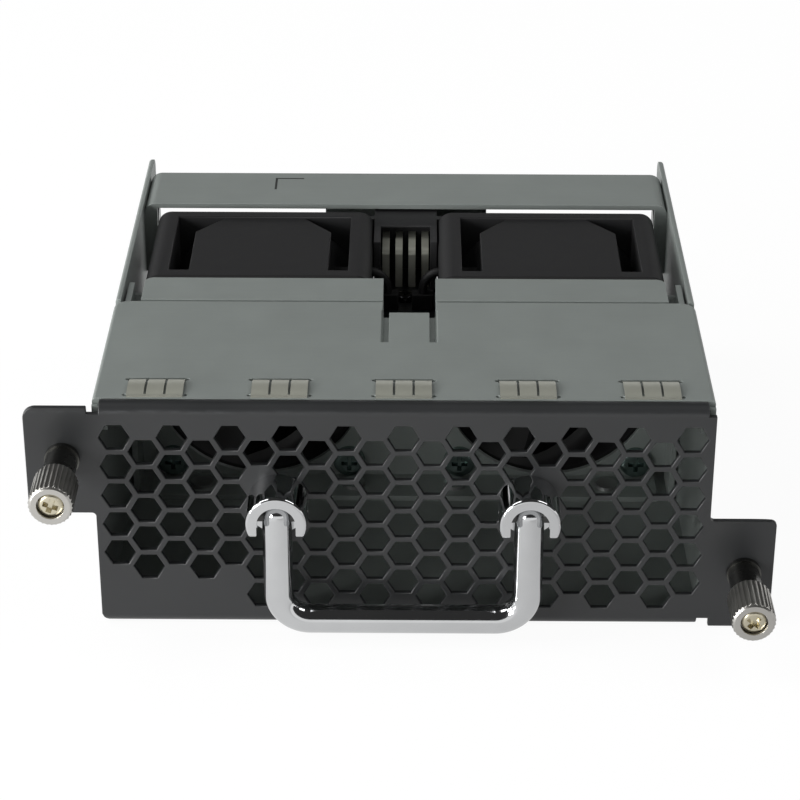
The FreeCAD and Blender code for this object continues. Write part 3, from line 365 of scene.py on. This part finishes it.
def modified(piece, kind, **settings):
    """Adds a modifier with its settings and applies it."""
    only(piece)
    made = piece.modifiers.new(kind.lower(), kind)
    for name, value in settings.items():
        setattr(made, name, value)
    bpy.ops.object.modifier_apply(modifier=made.name)


def smoothed(piece, angle=CREASED):
    """Shades a piece smooth, apart from edges sharper than an angle."""
    only(piece)
    bpy.ops.object.shade_smooth_by_angle(angle=angle)


def coat(piece, finish):
    """Gives a piece one finish."""
    piece.data.materials.clear()
    piece.data.materials.append(finish)


def stand_for(piece, node, finish):
    """A finished piece takes a node's place and body, and gets its finish."""
    coat(piece, finish)
    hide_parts(node)
    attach(piece, BODY_OF[node])


def joined(node, ending):
    """A copy of a node with its loose triangles joined, left in edit mode with all of it selected."""
    piece = bpy.data.objects.new(node + ending, NODES[node].data.copy())
    bpy.context.scene.collection.objects.link(piece)
    only(piece)
    bpy.ops.object.mode_set(mode="EDIT")
    bpy.ops.mesh.select_all(action="SELECT")
    bpy.ops.mesh.customdata_custom_splitnormals_clear()
    bpy.ops.mesh.remove_doubles(threshold=LOOSE_MERGE)
    return piece


def eased(node, radius, finish):
    """A copy of a node with its outer edges rounded, in the node's place."""
    piece = joined(node, "_eased")
    bpy.ops.mesh.dissolve_limited(angle_limit=FLAT)
    bpy.ops.mesh.remove_doubles(threshold=SLIVER)
    bpy.ops.mesh.select_mode(type="EDGE")
    bpy.ops.mesh.select_all(action="DESELECT")
    bpy.ops.mesh.edges_select_sharp(sharpness=SHARP)
    # Inner corners stay sharp, and so do edges that meet at a much shorter one, where roundings would cross.
    shape = bmesh.from_edit_mesh(piece.data)
    sharp = [edge for edge in shape.edges if edge.select]
    crowded = {point for edge in sharp if edge.calc_length() < radius / 2 for point in edge.verts}
    for face in shape.faces:
        face.select = False
    for edge in sharp:
        edge.select = edge.is_convex and crowded.isdisjoint(edge.verts)
    bmesh.update_edit_mesh(piece.data)
    bpy.ops.mesh.bevel(offset=radius, segments=2, clamp_overlap=False)
    bpy.ops.object.mode_set(mode="OBJECT")
    smoothed(piece, CURVED)
    modified(piece, "WEIGHTED_NORMAL", keep_sharp=True)
    stand_for(piece, node, finish)


def coiled(node, finish):
    """A coil spring in a node's place, shaded smooth, with a mesh of its own."""
    spring = joined(node, "_coil")
    bpy.ops.object.mode_set(mode="OBJECT")
    smoothed(spring, CURVED)
    stand_for(spring, node, finish)
    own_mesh(spring)


def grown(steps):
    """Extrudes the selected end of a turned piece: each step is a rise along Z and the new radius.

    The piece stands on the Z axis, and its first ring has a radius of 1 mm.
    """
    radius, height = 1 * MM, 0
    for rise, new_radius in steps:
        bpy.ops.mesh.extrude_region_move(TRANSFORM_OT_translate={"value": (0, 0, rise)})
        height += rise
        scale = new_radius / radius
        bpy.ops.transform.resize(value=(scale, scale, 1), center_override=(0, 0, height))
        radius = new_radius


def turned(name, first_radius, steps):
    """A closed turned piece on the Z axis that starts at the origin."""
    bpy.ops.object.select_all(action="DESELECT")
    bpy.ops.mesh.primitive_circle_add(vertices=sizes().round_steps, radius=1 * MM, fill_type="NGON")
    piece = bpy.context.active_object
    piece.name = name
    bpy.ops.object.mode_set(mode="EDIT")
    bpy.ops.mesh.select_all(action="SELECT")
    grown([(0, first_radius)] + steps)
    bpy.ops.mesh.select_all(action="SELECT")
    bpy.ops.mesh.remove_doubles(threshold=TURNED_MERGE)
    bpy.ops.mesh.normals_make_consistent(inside=False)
    bpy.ops.object.mode_set(mode="OBJECT")
    return piece


def domed(radius, rise, count=6):
    """Steps of a pan head's crown, an arc that starts upright and ends nearly flat."""
    steps = []
    for i in range(1, count + 1):
        turn = math.pi / 2 * i / (count + 1)
        last = math.pi / 2 * (i - 1) / (count + 1)
        left = CROWN_TOP + (1 - CROWN_TOP) * math.cos(turn)
        steps.append((rise * (math.sin(turn) - math.sin(last)), radius * left))
    return steps


def cross_cut(piece, top, reach, half_width, depth):
    """Cuts a cross recess, tapered towards its floor, into the top of a screw's head."""
    bpy.ops.object.select_all(action="DESELECT")
    bpy.ops.mesh.primitive_cube_add(size=2)
    cutter = bpy.context.active_object
    cutter.scale = (reach, half_width, depth)
    cutter.location = (0, 0, top)
    bpy.ops.object.transform_apply(location=True, rotation=True, scale=True)
    bpy.ops.object.mode_set(mode="EDIT")
    bpy.ops.mesh.select_mode(type="FACE")
    bpy.ops.mesh.select_all(action="DESELECT")
    bpy.ops.object.mode_set(mode="OBJECT")
    for face in cutter.data.polygons:
        face.select = face.normal.z < -0.5
    bpy.ops.object.mode_set(mode="EDIT")
    bpy.ops.transform.resize(value=(0.5, 0.6, 1), center_override=(0, 0, top - depth))
    bpy.ops.object.mode_set(mode="OBJECT")
    bpy.ops.object.duplicate()
    second = bpy.context.active_object
    second.rotation_euler = (0, 0, math.pi / 2)
    bpy.ops.object.transform_apply(location=True, rotation=True, scale=True)
    for tool in (cutter, second):
        modified(piece, "BOOLEAN", object=tool, operation="DIFFERENCE", solver="EXACT")
        bpy.data.objects.remove(tool)


def threaded(name, radius, depth, pitch, run):
    """A closed length of thread on the Z axis, from the origin upwards."""
    root = radius - depth
    bpy.ops.object.select_all(action="DESELECT")
    bpy.ops.mesh.primitive_plane_add(size=1)
    piece = bpy.context.active_object
    piece.name = name
    bpy.ops.object.mode_set(mode="EDIT")
    bpy.ops.mesh.select_mode(type="VERT")
    bpy.ops.mesh.select_all(action="SELECT")
    bpy.ops.mesh.merge(type="CENTER")
    # The odd share of a pitch keeps the helix's points off the two planes that cut its ends.
    bpy.ops.transform.translate(value=(root, 0, -2.0137 * pitch))
    for across, along in ((depth, THREAD_FLANK), (0, THREAD_LAND), (-depth, THREAD_FLANK), (0, THREAD_LAND)):
        bpy.ops.mesh.extrude_region_move(TRANSFORM_OT_translate={"value": (across, 0, along * pitch)})
    bpy.ops.object.mode_set(mode="OBJECT")
    modified(piece, "SCREW", angle=2 * math.pi, screw_offset=pitch, iterations=round(run / pitch) + 4,
             steps=THREAD_SIDES, render_steps=THREAD_SIDES, axis="Z", use_merge_vertices=True,
             merge_threshold=TURNED_MERGE)
    bpy.ops.object.mode_set(mode="EDIT")
    for level, way in ((0, -1), (run, 1)):
        bpy.ops.mesh.select_all(action="SELECT")
        bpy.ops.mesh.bisect(plane_co=(0, 0, level), plane_no=(0, 0, way), use_fill=True, clear_outer=True,
                            threshold=0.0001 * MM)
    bpy.ops.mesh.select_all(action="SELECT")
    bpy.ops.mesh.remove_doubles(threshold=TURNED_MERGE)
    bpy.ops.mesh.normals_make_consistent(inside=False)
    bpy.ops.object.mode_set(mode="OBJECT")
    return piece


def cross_head_screw(name, head_radius, head, shank_radius, shank):
    """A pan-head screw on the Z axis, its head's seat at the origin, smooth in its shank."""
    crown = head * HEAD_CROWN
    chamfer = head * 0.06
    point = min(shank_radius / 3, shank / 4)
    steps = [(point, shank_radius), (shank - point, shank_radius), (0, head_radius * 0.97),
             (chamfer, head_radius), (head - crown - chamfer, head_radius)]
    piece = turned(name, shank_radius - point, steps + domed(head_radius, crown))
    piece.location = (0, 0, -shank)
    only(piece)
    bpy.ops.object.transform_apply(location=True, rotation=True, scale=True)
    cross_cut(piece, head, reach=head_radius * 0.66, half_width=head_radius * 0.17, depth=head * 0.7)
    return piece


def set_out(model, spots, turn):
    """Copies of a modelled piece at several spots, turned alike and joined into one piece."""
    copies = []
    for spot in spots:
        only(model)
        bpy.ops.object.duplicate()
        copy = bpy.context.active_object
        copy.location = spot
        copy.rotation_euler = turn
        copies.append(copy)
    name = model.name
    bpy.data.objects.remove(model)
    copies[0].name = name
    only(copies[0])
    for copy in copies:
        copy.select_set(True)
    bpy.ops.object.transform_apply(location=True, rotation=True, scale=True)
    if len(copies) > 1:
        bpy.ops.object.join()
    smoothed(copies[0])
    return copies[0]


def middle_of(node):
    """The middle of a node's box."""
    low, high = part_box(node)
    return [(a + b) / 2 for a, b in zip(low, high)]


# Stage

def softbox(name, place, size, watts):
    """A square soft light that faces the part."""
    bpy.ops.object.light_add(type="AREA", location=place)
    lamp = bpy.context.active_object
    lamp.name = name
    lamp.data.size = size
    lamp.data.energy = watts
    lamp.rotation_euler = (Vector(LAMP_TARGET) - Vector(place)).to_track_quat("-Z", "Y").to_euler()


def seen(tree):
    """Whether a ray comes from the camera, a gloss or through glass."""
    path = add(tree, "LightPath")
    gloss = add(tree, "Math", {0: path.outputs["Is Camera Ray"], 1: path.outputs["Is Glossy Ray"]},
                operation="MAXIMUM")
    return add(tree, "Math", {0: gloss.outputs[0], 1: path.outputs["Is Transmission Ray"]},
               operation="MAXIMUM").outputs[0]


class FANTRAY_OT_stage(bpy.types.Operator):
    """Camera, soft studio light and a plain pale floor"""
    bl_idname = "fan_tray.stage"
    bl_label = "Stage"

    def execute(self, context):
        view = context.scene.fan_tray_stage
        bpy.ops.object.camera_add()
        camera = context.active_object
        camera.name = "photo_camera"
        camera.data.lens = view.lens
        camera.data.sensor_width = SENSOR_WIDTH
        camera.data.clip_start = NEAREST_SEEN
        turn = Matrix.Rotation(view.yaw, 4, "Z") @ Matrix.Rotation(math.pi / 2 - view.pitch, 4, "X")
        camera.matrix_world = Matrix.Translation(view.place) @ turn @ Matrix.Rotation(view.roll, 4, "Z")
        context.scene.camera = camera
        context.scene.view_settings.view_transform = "Standard"

        for lamp in LAMPS:
            softbox(*lamp)

        world = bpy.data.worlds.new("studio")
        context.scene.world = world
        tree = emptied(world)
        strength = add(tree, "MapRange", {"Value": seen(tree), "To Min": SURROUND, "To Max": 1})
        back = add(tree, "Background", {"Color": (1, 1, 1, 1), "Strength": strength.outputs[0]})
        add(tree, "OutputWorld", {"Surface": back.outputs[0]})

        bpy.ops.mesh.primitive_plane_add(size=FLOOR_SIZE, location=(0, 0, -FLOOR_GAP))
        floor = context.active_object
        floor.name = "floor"
        bpy.ops.object.transform_apply(location=True, rotation=True, scale=True)
        paper = bpy.data.materials.new("matt_white_paper")
        tree = emptied(paper)
        matt = add(tree, "BsdfDiffuse", {"Color": linear("#FFFFFF") + [1]})
        # In reflections the floor's glow is a painted gradient of light: bright on the side of the key light,
        # and darker on the far side as painted shade.
        across = add(tree, "SeparateXYZ", {"Vector": add(tree, "TexCoord").outputs["Object"]})
        painted_floor_light = add(tree, "MapRange", {"Value": across.outputs[0], "From Min": -0.07, "From Max": 0.07,
                                     "To Min": 1, "To Max": 0.62})
        glossy = add(tree, "LightPath").outputs["Is Glossy Ray"]
        white = add(tree, "MapRange", {"Value": glossy, "To Min": 1, "To Max": painted_floor_light.outputs[0]})
        glow = add(tree, "Emission", {"Color": (1, 1, 1, 1), "Strength": white.outputs[0]})
        share = add(tree, "Math", {0: seen(tree), 1: FLOOR_WHITE}, operation="MULTIPLY")
        mixed = add(tree, "MixShader", {0: share.outputs[0], 1: matt.outputs[0], 2: glow.outputs[0]})
        add(tree, "OutputMaterial", {"Surface": mixed.outputs[0]})
        coat(floor, paper)

        # A dark ceiling that only reflections see, as in a studio with its lamps hung below black cloth.
        bpy.ops.mesh.primitive_plane_add(size=1, location=CEILING_PLACE)
        ceiling = context.active_object
        ceiling.name = "dark_ceiling"
        ceiling.scale = CEILING_SIZE
        bpy.ops.object.transform_apply(location=True, rotation=True, scale=True)
        for ray in ("camera", "diffuse", "transmission", "volume_scatter", "shadow"):
            setattr(ceiling, "visible_" + ray, False)
        cloth = bpy.data.materials.new("black_studio_cloth")
        tree = emptied(cloth)
        dull = add(tree, "Emission", {"Color": linear("#383838") + [1], "Strength": 1})
        add(tree, "OutputMaterial", {"Surface": dull.outputs[0]})
        coat(ceiling, cloth)
        return {"FINISHED"}


# Pieces

class FANTRAY_OT_front_panel(bpy.types.Operator):
    """Perforated front panel with painted, rounded edges"""
    bl_idname = "fan_tray.front_panel"
    bl_label = "Front panel"

    def execute(self, context):
        eased("front_panel", sizes().painted_edge, powder_coat())
        return {"FINISHED"}


class FANTRAY_OT_box(bpy.types.Operator):
    """Folded sheets of the box, and the rivets that hold them"""
    bl_idname = "fan_tray.box"
    bl_label = "Box and rivets"

    def execute(self, context):
        sheet = plated_sheet()
        for node in ("base_tray", "top_cover", "fan_bracket", "rear_bridge"):
            eased(node, sizes().sheet_edge, sheet)
        rivet = plated_metal("set_steel_rivet", colours().steel,
                             gloss=0.35, spread=0.15, grain=0.3, unevenness=0.3)
        for node in ("cover_rivets", "bridge_rivets", "bracket_rivets"):
            coat(NODES[node], rivet)
        return {"FINISHED"}


class FANTRAY_OT_clips(bpy.types.Operator):
    """Grounding clips of tin-plated spring strip"""
    bl_idname = "fan_tray.clips"
    bl_label = "Grounding clips"

    def execute(self, context):
        tin = plated_metal("tin_plated_spring_strip", colours().clip,
                           gloss=0.32, spread=0.14, grain=0.2, unevenness=0.3, metallic=0.5)
        for node in NODES:
            if node.startswith("grounding_clip"):
                coat(NODES[node], tin)
        return {"FINISHED"}


class FANTRAY_OT_fans(bpy.types.Operator):
    """Fan frames, impellers and the motors inside them"""
    bl_idname = "fan_tray.fans"
    bl_label = "Fans"

    def execute(self, context):
        black = moulded_plastic("glass_filled_pbt", colours().fan, gloss=0.6, grit=0.3)
        smooth = moulded_plastic("smooth_pbt", linear("#101011"), gloss=0.45, grit=0.6)
        foam = moulded_plastic("closed_cell_foam", linear("#151515"), gloss=0.9, grit=0.25)
        ground = plated_metal("ground_steel", colours().steel,
                              gloss=0.2, spread=0.1, grain=0.15, unevenness=0.2)
        drawn = plated_metal("drawn_plated_steel", colours().steel,
                             gloss=0.3, spread=0.2, grain=0.5, unevenness=0.2)
        ferrite = moulded_plastic("bonded_ferrite", linear("#2A2826"), gloss=0.6, grit=0.2)
        stack = banded("electrical_steel_stack", linear("#7C7C7A"), metallic=1, gloss=0.4, band=0.5, axis="Y",
                       depth=0.05)
        wire = banded("enamelled_copper_wire", colours().copper, metallic=0.9, gloss=0.25, band=0.3,
                      axis="DIAGONAL", depth=0.08)
        mask = solder_mask()
        for side in SIDES:
            eased("fan_frame_" + side, sizes().moulded_edge, black)
            eased("fan_impeller_" + side, sizes().moulded_edge / 2, smooth)
            for stem, finish in (("fan_shaft", ground), ("fan_bearings", ground), ("rotor_yoke", drawn),
                                 ("rotor_magnet", ferrite), ("stator_core", stack),
                                 ("stator_windings", wire), ("motor_board", mask), ("fan_gasket", foam)):
                coat(NODES[stem + "_" + side], finish)
        return {"FINISHED"}


class FANTRAY_OT_screws(bpy.types.Operator):
    """Cross-head screws of the fans, the handle posts and the board"""
    bl_idname = "fan_tray.screws"
    bl_label = "Cross-head screws"

    def execute(self, context):
        size = sizes()
        low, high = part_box("fan_screws")
        seat = low[1] + size.fan_head
        spots = []
        for side in SIDES:
            near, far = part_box("fan_frame_" + side)
            spots += [(x, seat, z) for x in (near[0] + size.fan_hole_inset, far[0] - size.fan_hole_inset)
                      for z in (near[2] + size.fan_hole_inset, far[2] - size.fan_hole_inset)]
        model = cross_head_screw("fan_screws_turned", size.fan_head_radius, size.fan_head, size.fan_shank,
                                 high[1] - seat)
        zinc = plated_metal("passivated_zinc_screw", colours().fan_screw,
                            gloss=0.18, spread=0.12, grain=0.3, unevenness=0.2)
        stand_for(set_out(model, spots, (math.pi / 2, 0, 0)), "fan_screws", zinc)

        low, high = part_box("handle_post_screws")
        seat = high[1] - size.post_head
        spots = []
        for side in SIDES:
            x, _, z = middle_of("handle_post_" + side)
            spots.append((x, seat, z))
        model = cross_head_screw("handle_post_screws_turned", size.post_head_radius, size.post_head,
                                 size.post_shank, seat - low[1])
        stand_for(set_out(model, spots, (-math.pi / 2, 0, 0)), "handle_post_screws", zinc)

        low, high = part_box("board_screw")
        seat = high[2] - size.board_head
        x, y, _ = middle_of("board_screw")
        model = cross_head_screw("board_screw_turned", (high[0] - low[0]) / 2, size.board_head,
                                 size.board_shank, seat - low[2])
        oxide = plated_metal("black_oxide_steel", colours().black_oxide,
                             gloss=0.2, spread=0.12, grain=0.3, unevenness=0.2)
        stand_for(set_out(model, [(x, y, seat)], (0, 0, 0)), "board_screw", oxide)
        return {"FINISHED"}


class FANTRAY_OT_handle(bpy.types.Operator):
    """Chrome bail, its slotted posts and its pins"""
    bl_idname = "fan_tray.handle"
    bl_label = "Handle"

    def execute(self, context):
        chrome = plated_metal("bright_chrome_plate", colours().chrome,
                              gloss=0.05, spread=0.06, grain=2, unevenness=0.05)
        for node in ("handle_bail", "handle_post_left", "handle_post_right"):
            coat(NODES[node], chrome)
        # The pins are coloured dark grey as painted shade, so they read as the deep gap between each leg of
        # the bail and its post.
        pin = plated_metal("dark_steel_painted_shade", linear("#4A4A49"),
                           gloss=0.3, spread=0.15, grain=0.2, unevenness=0.3)
        for side in SIDES:
            coat(NODES["handle_pin_" + side], pin)
        return {"FINISHED"}


class FANTRAY_OT_thumbscrews(bpy.types.Operator):
    """Captive thumbscrews with their sleeves, springs and washers"""
    bl_idname = "fan_tray.thumbscrews"
    bl_label = "Thumbscrews"

    def execute(self, context):
        nickel = plated_metal("nickel_plated_knurl", colours().nickel,
                              gloss=0.26, spread=0.12, grain=0.25, unevenness=0.3)
        zinc = plated_metal("yellow_zinc_screw", colours().screw,
                            gloss=0.22, spread=0.14, grain=0.3, unevenness=0.3)
        steel = plated_metal("spring_steel", colours().steel,
                             gloss=0.25, spread=0.15, grain=0.2, unevenness=0.3)
        polished = plated_metal("polished_steel_sleeve", linear("#5E5E5B"),
                                gloss=0.22, spread=0.1, grain=0.3, unevenness=0.2)
        size = sizes()
        crown = size.captive_head * HEAD_CROWN
        chamfer = size.captive_head * 0.1
        for side, turn in zip(SIDES, SCREW_TURNS):
            eased("thumbscrew_knob_" + side, size.turned_edge, nickel)
            coat(NODES["screw_ferrule_" + side], polished)
            coat(NODES["screw_washer_" + side], steel)
            coiled("screw_spring_" + side, steel)
            node = "thumbscrew_screw_" + side
            low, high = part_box(node)
            radius = (high[0] - low[0]) / 2
            neck = high[1] - low[1] - size.captive_head - size.thread_length
            steps = [(neck, size.captive_neck), (0, radius * 0.98), (chamfer, radius),
                     (size.captive_head - crown - chamfer, radius)]
            screw = turned(node + "_turned", size.captive_neck, steps + domed(radius, crown))
            cross_cut(screw, neck + size.captive_head, reach=radius * 0.8, half_width=radius * 0.27,
                      depth=size.captive_head * 0.8)
            thread = threaded("captive_thread", radius * THREAD_RADIUS, size.thread_depth, size.thread_pitch,
                              size.thread_length)
            thread.location = (0, 0, -size.thread_length)
            thread.select_set(True)
            screw.select_set(True)
            context.view_layer.objects.active = screw
            bpy.ops.object.transform_apply(location=True, rotation=True, scale=True)
            bpy.ops.object.join()
            x, _, z = middle_of(node)
            spot = (x, high[1] - size.thread_length, z)
            stand_for(set_out(screw, [spot], (math.pi / 2, turn, 0)), node, zinc)
        return {"FINISHED"}


class FANTRAY_OT_connector(bpy.types.Operator):
    """Connector, its contacts, the control board and the fans' leads"""
    bl_idname = "fan_tray.connector"
    bl_label = "Connector and board"

    def execute(self, context):
        black = moulded_plastic("black_nylon", colours().connector, gloss=0.45, grit=0.3)
        eased("connector_housing", sizes().moulded_edge / 2, black)
        tin = plated_metal("tin_plated_contact", colours().clip,
                           gloss=0.3, spread=0.16, grain=0.2, unevenness=0.3, metallic=0.5)
        coat(NODES["connector_contacts"], tin)
        # The control board's near-black solder mask also stands as painted shade for the dark space under the
        # connector.
        coat(NODES["control_board"], solder_mask())
        coat(NODES["board_standoff"], plated_metal("turned_standoff", colours().steel,
                                                   gloss=0.25, spread=0.15, grain=0.2, unevenness=0.4))
        sleeve = moulded_plastic("heat_shrink_sleeve", linear("#0D0D0E"), gloss=0.55, grit=0.5)
        # The lead headers are near-black nylon, kept this dark as painted shade for the space round the
        # connector's foot.
        header = moulded_plastic("near_black_header_painted_shade", linear("#070708"), gloss=0.8, grit=0.3)
        for side in SIDES:
            coat(NODES["fan_lead_" + side], sleeve)
            eased("lead_header_" + side, sizes().moulded_edge / 2, header)
        return {"FINISHED"}


class FANTRAY_OT_mark(bpy.types.Operator):
    """Printed corner mark on the rear bridge"""
    bl_idname = "fan_tray.mark"
    bl_label = "Corner mark"

    def execute(self, context):
        size = sizes()
        _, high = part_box("rear_bridge")
        corner = Vector((-size.mark_reach, high[1] - size.mark_margin, high[2]))
        half = size.mark_line / 2
        bpy.ops.object.select_all(action="DESELECT")
        bpy.ops.mesh.primitive_plane_add(size=size.mark_line, location=corner)
        mark = context.active_object
        mark.name = "bridge_corner_mark"
        bpy.ops.object.transform_apply(location=True, rotation=True, scale=True)
        for reach in (Vector((size.mark_arm, 0, 0)), Vector((0, -size.mark_arm, 0))):
            end = corner + reach.normalized() * half
            bpy.ops.object.mode_set(mode="EDIT")
            bpy.ops.mesh.select_mode(type="EDGE")
            bpy.ops.mesh.select_all(action="DESELECT")
            bpy.ops.object.mode_set(mode="OBJECT")
            points = mark.data.vertices
            for edge in mark.data.edges:
                centre = (points[edge.vertices[0]].co + points[edge.vertices[1]].co) / 2
                edge.select = (centre - end).length < half / 2
            bpy.ops.object.mode_set(mode="EDIT")
            bpy.ops.mesh.extrude_region_move(TRANSFORM_OT_translate={"value": reach})
            bpy.ops.object.mode_set(mode="OBJECT")
        modified(mark, "SOLIDIFY", thickness=size.mark_ink, offset=1)
        coat(mark, moulded_plastic("screen_printed_ink", linear("#2B2D2C"), gloss=0.6, grit=0.4))
        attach(mark, BODY_OF["rear_bridge"])
        return {"FINISHED"}


class FANTRAY_PT_sidebar(bpy.types.Panel):
    """Sizes, colours and pieces of the fan tray"""
    bl_idname = "FANTRAY_PT_sidebar"
    bl_label = "Fan tray"
    bl_space_type = "VIEW_3D"
    bl_region_type = "UI"
    bl_category = "Fan tray"

    def draw(self, context):
        for group in (context.scene.fan_tray_sizes, context.scene.fan_tray_colours,
                      context.scene.fan_tray_stage):
            box = self.layout.box()
            for name in group.__annotations__:
                box.prop(group, name)
        for operator in OPERATORS:
            self.layout.operator(operator.bl_idname)


GROUPS = {"fan_tray_sizes": FanTraySizes, "fan_tray_colours": FanTrayColours, "fan_tray_stage": FanTrayStage}
OPERATORS = (FANTRAY_OT_stage, FANTRAY_OT_front_panel, FANTRAY_OT_box, FANTRAY_OT_clips, FANTRAY_OT_fans,
             FANTRAY_OT_screws, FANTRAY_OT_handle, FANTRAY_OT_thumbscrews, FANTRAY_OT_connector,
             FANTRAY_OT_mark)


def register():
    for kind in (*GROUPS.values(), *OPERATORS, FANTRAY_PT_sidebar):
        bpy.utils.register_class(kind)
    for name, kind in GROUPS.items():
        setattr(bpy.types.Scene, name, PointerProperty(type=kind))


def unregister():
    for name in GROUPS:
        delattr(bpy.types.Scene, name)
    for kind in (FANTRAY_PT_sidebar, *reversed(OPERATORS), *GROUPS.values()):
        bpy.utils.unregister_class(kind)


def main():
    """Makes the stage and every piece."""
    register()
    bpy.ops.fan_tray.stage()
    bpy.ops.fan_tray.front_panel()
    bpy.ops.fan_tray.box()
    bpy.ops.fan_tray.clips()
    bpy.ops.fan_tray.fans()
    bpy.ops.fan_tray.screws()
    bpy.ops.fan_tray.handle()
    bpy.ops.fan_tray.thumbscrews()
    bpy.ops.fan_tray.connector()
    bpy.ops.fan_tray.mark()


if __name__ == "__main__":
    main()
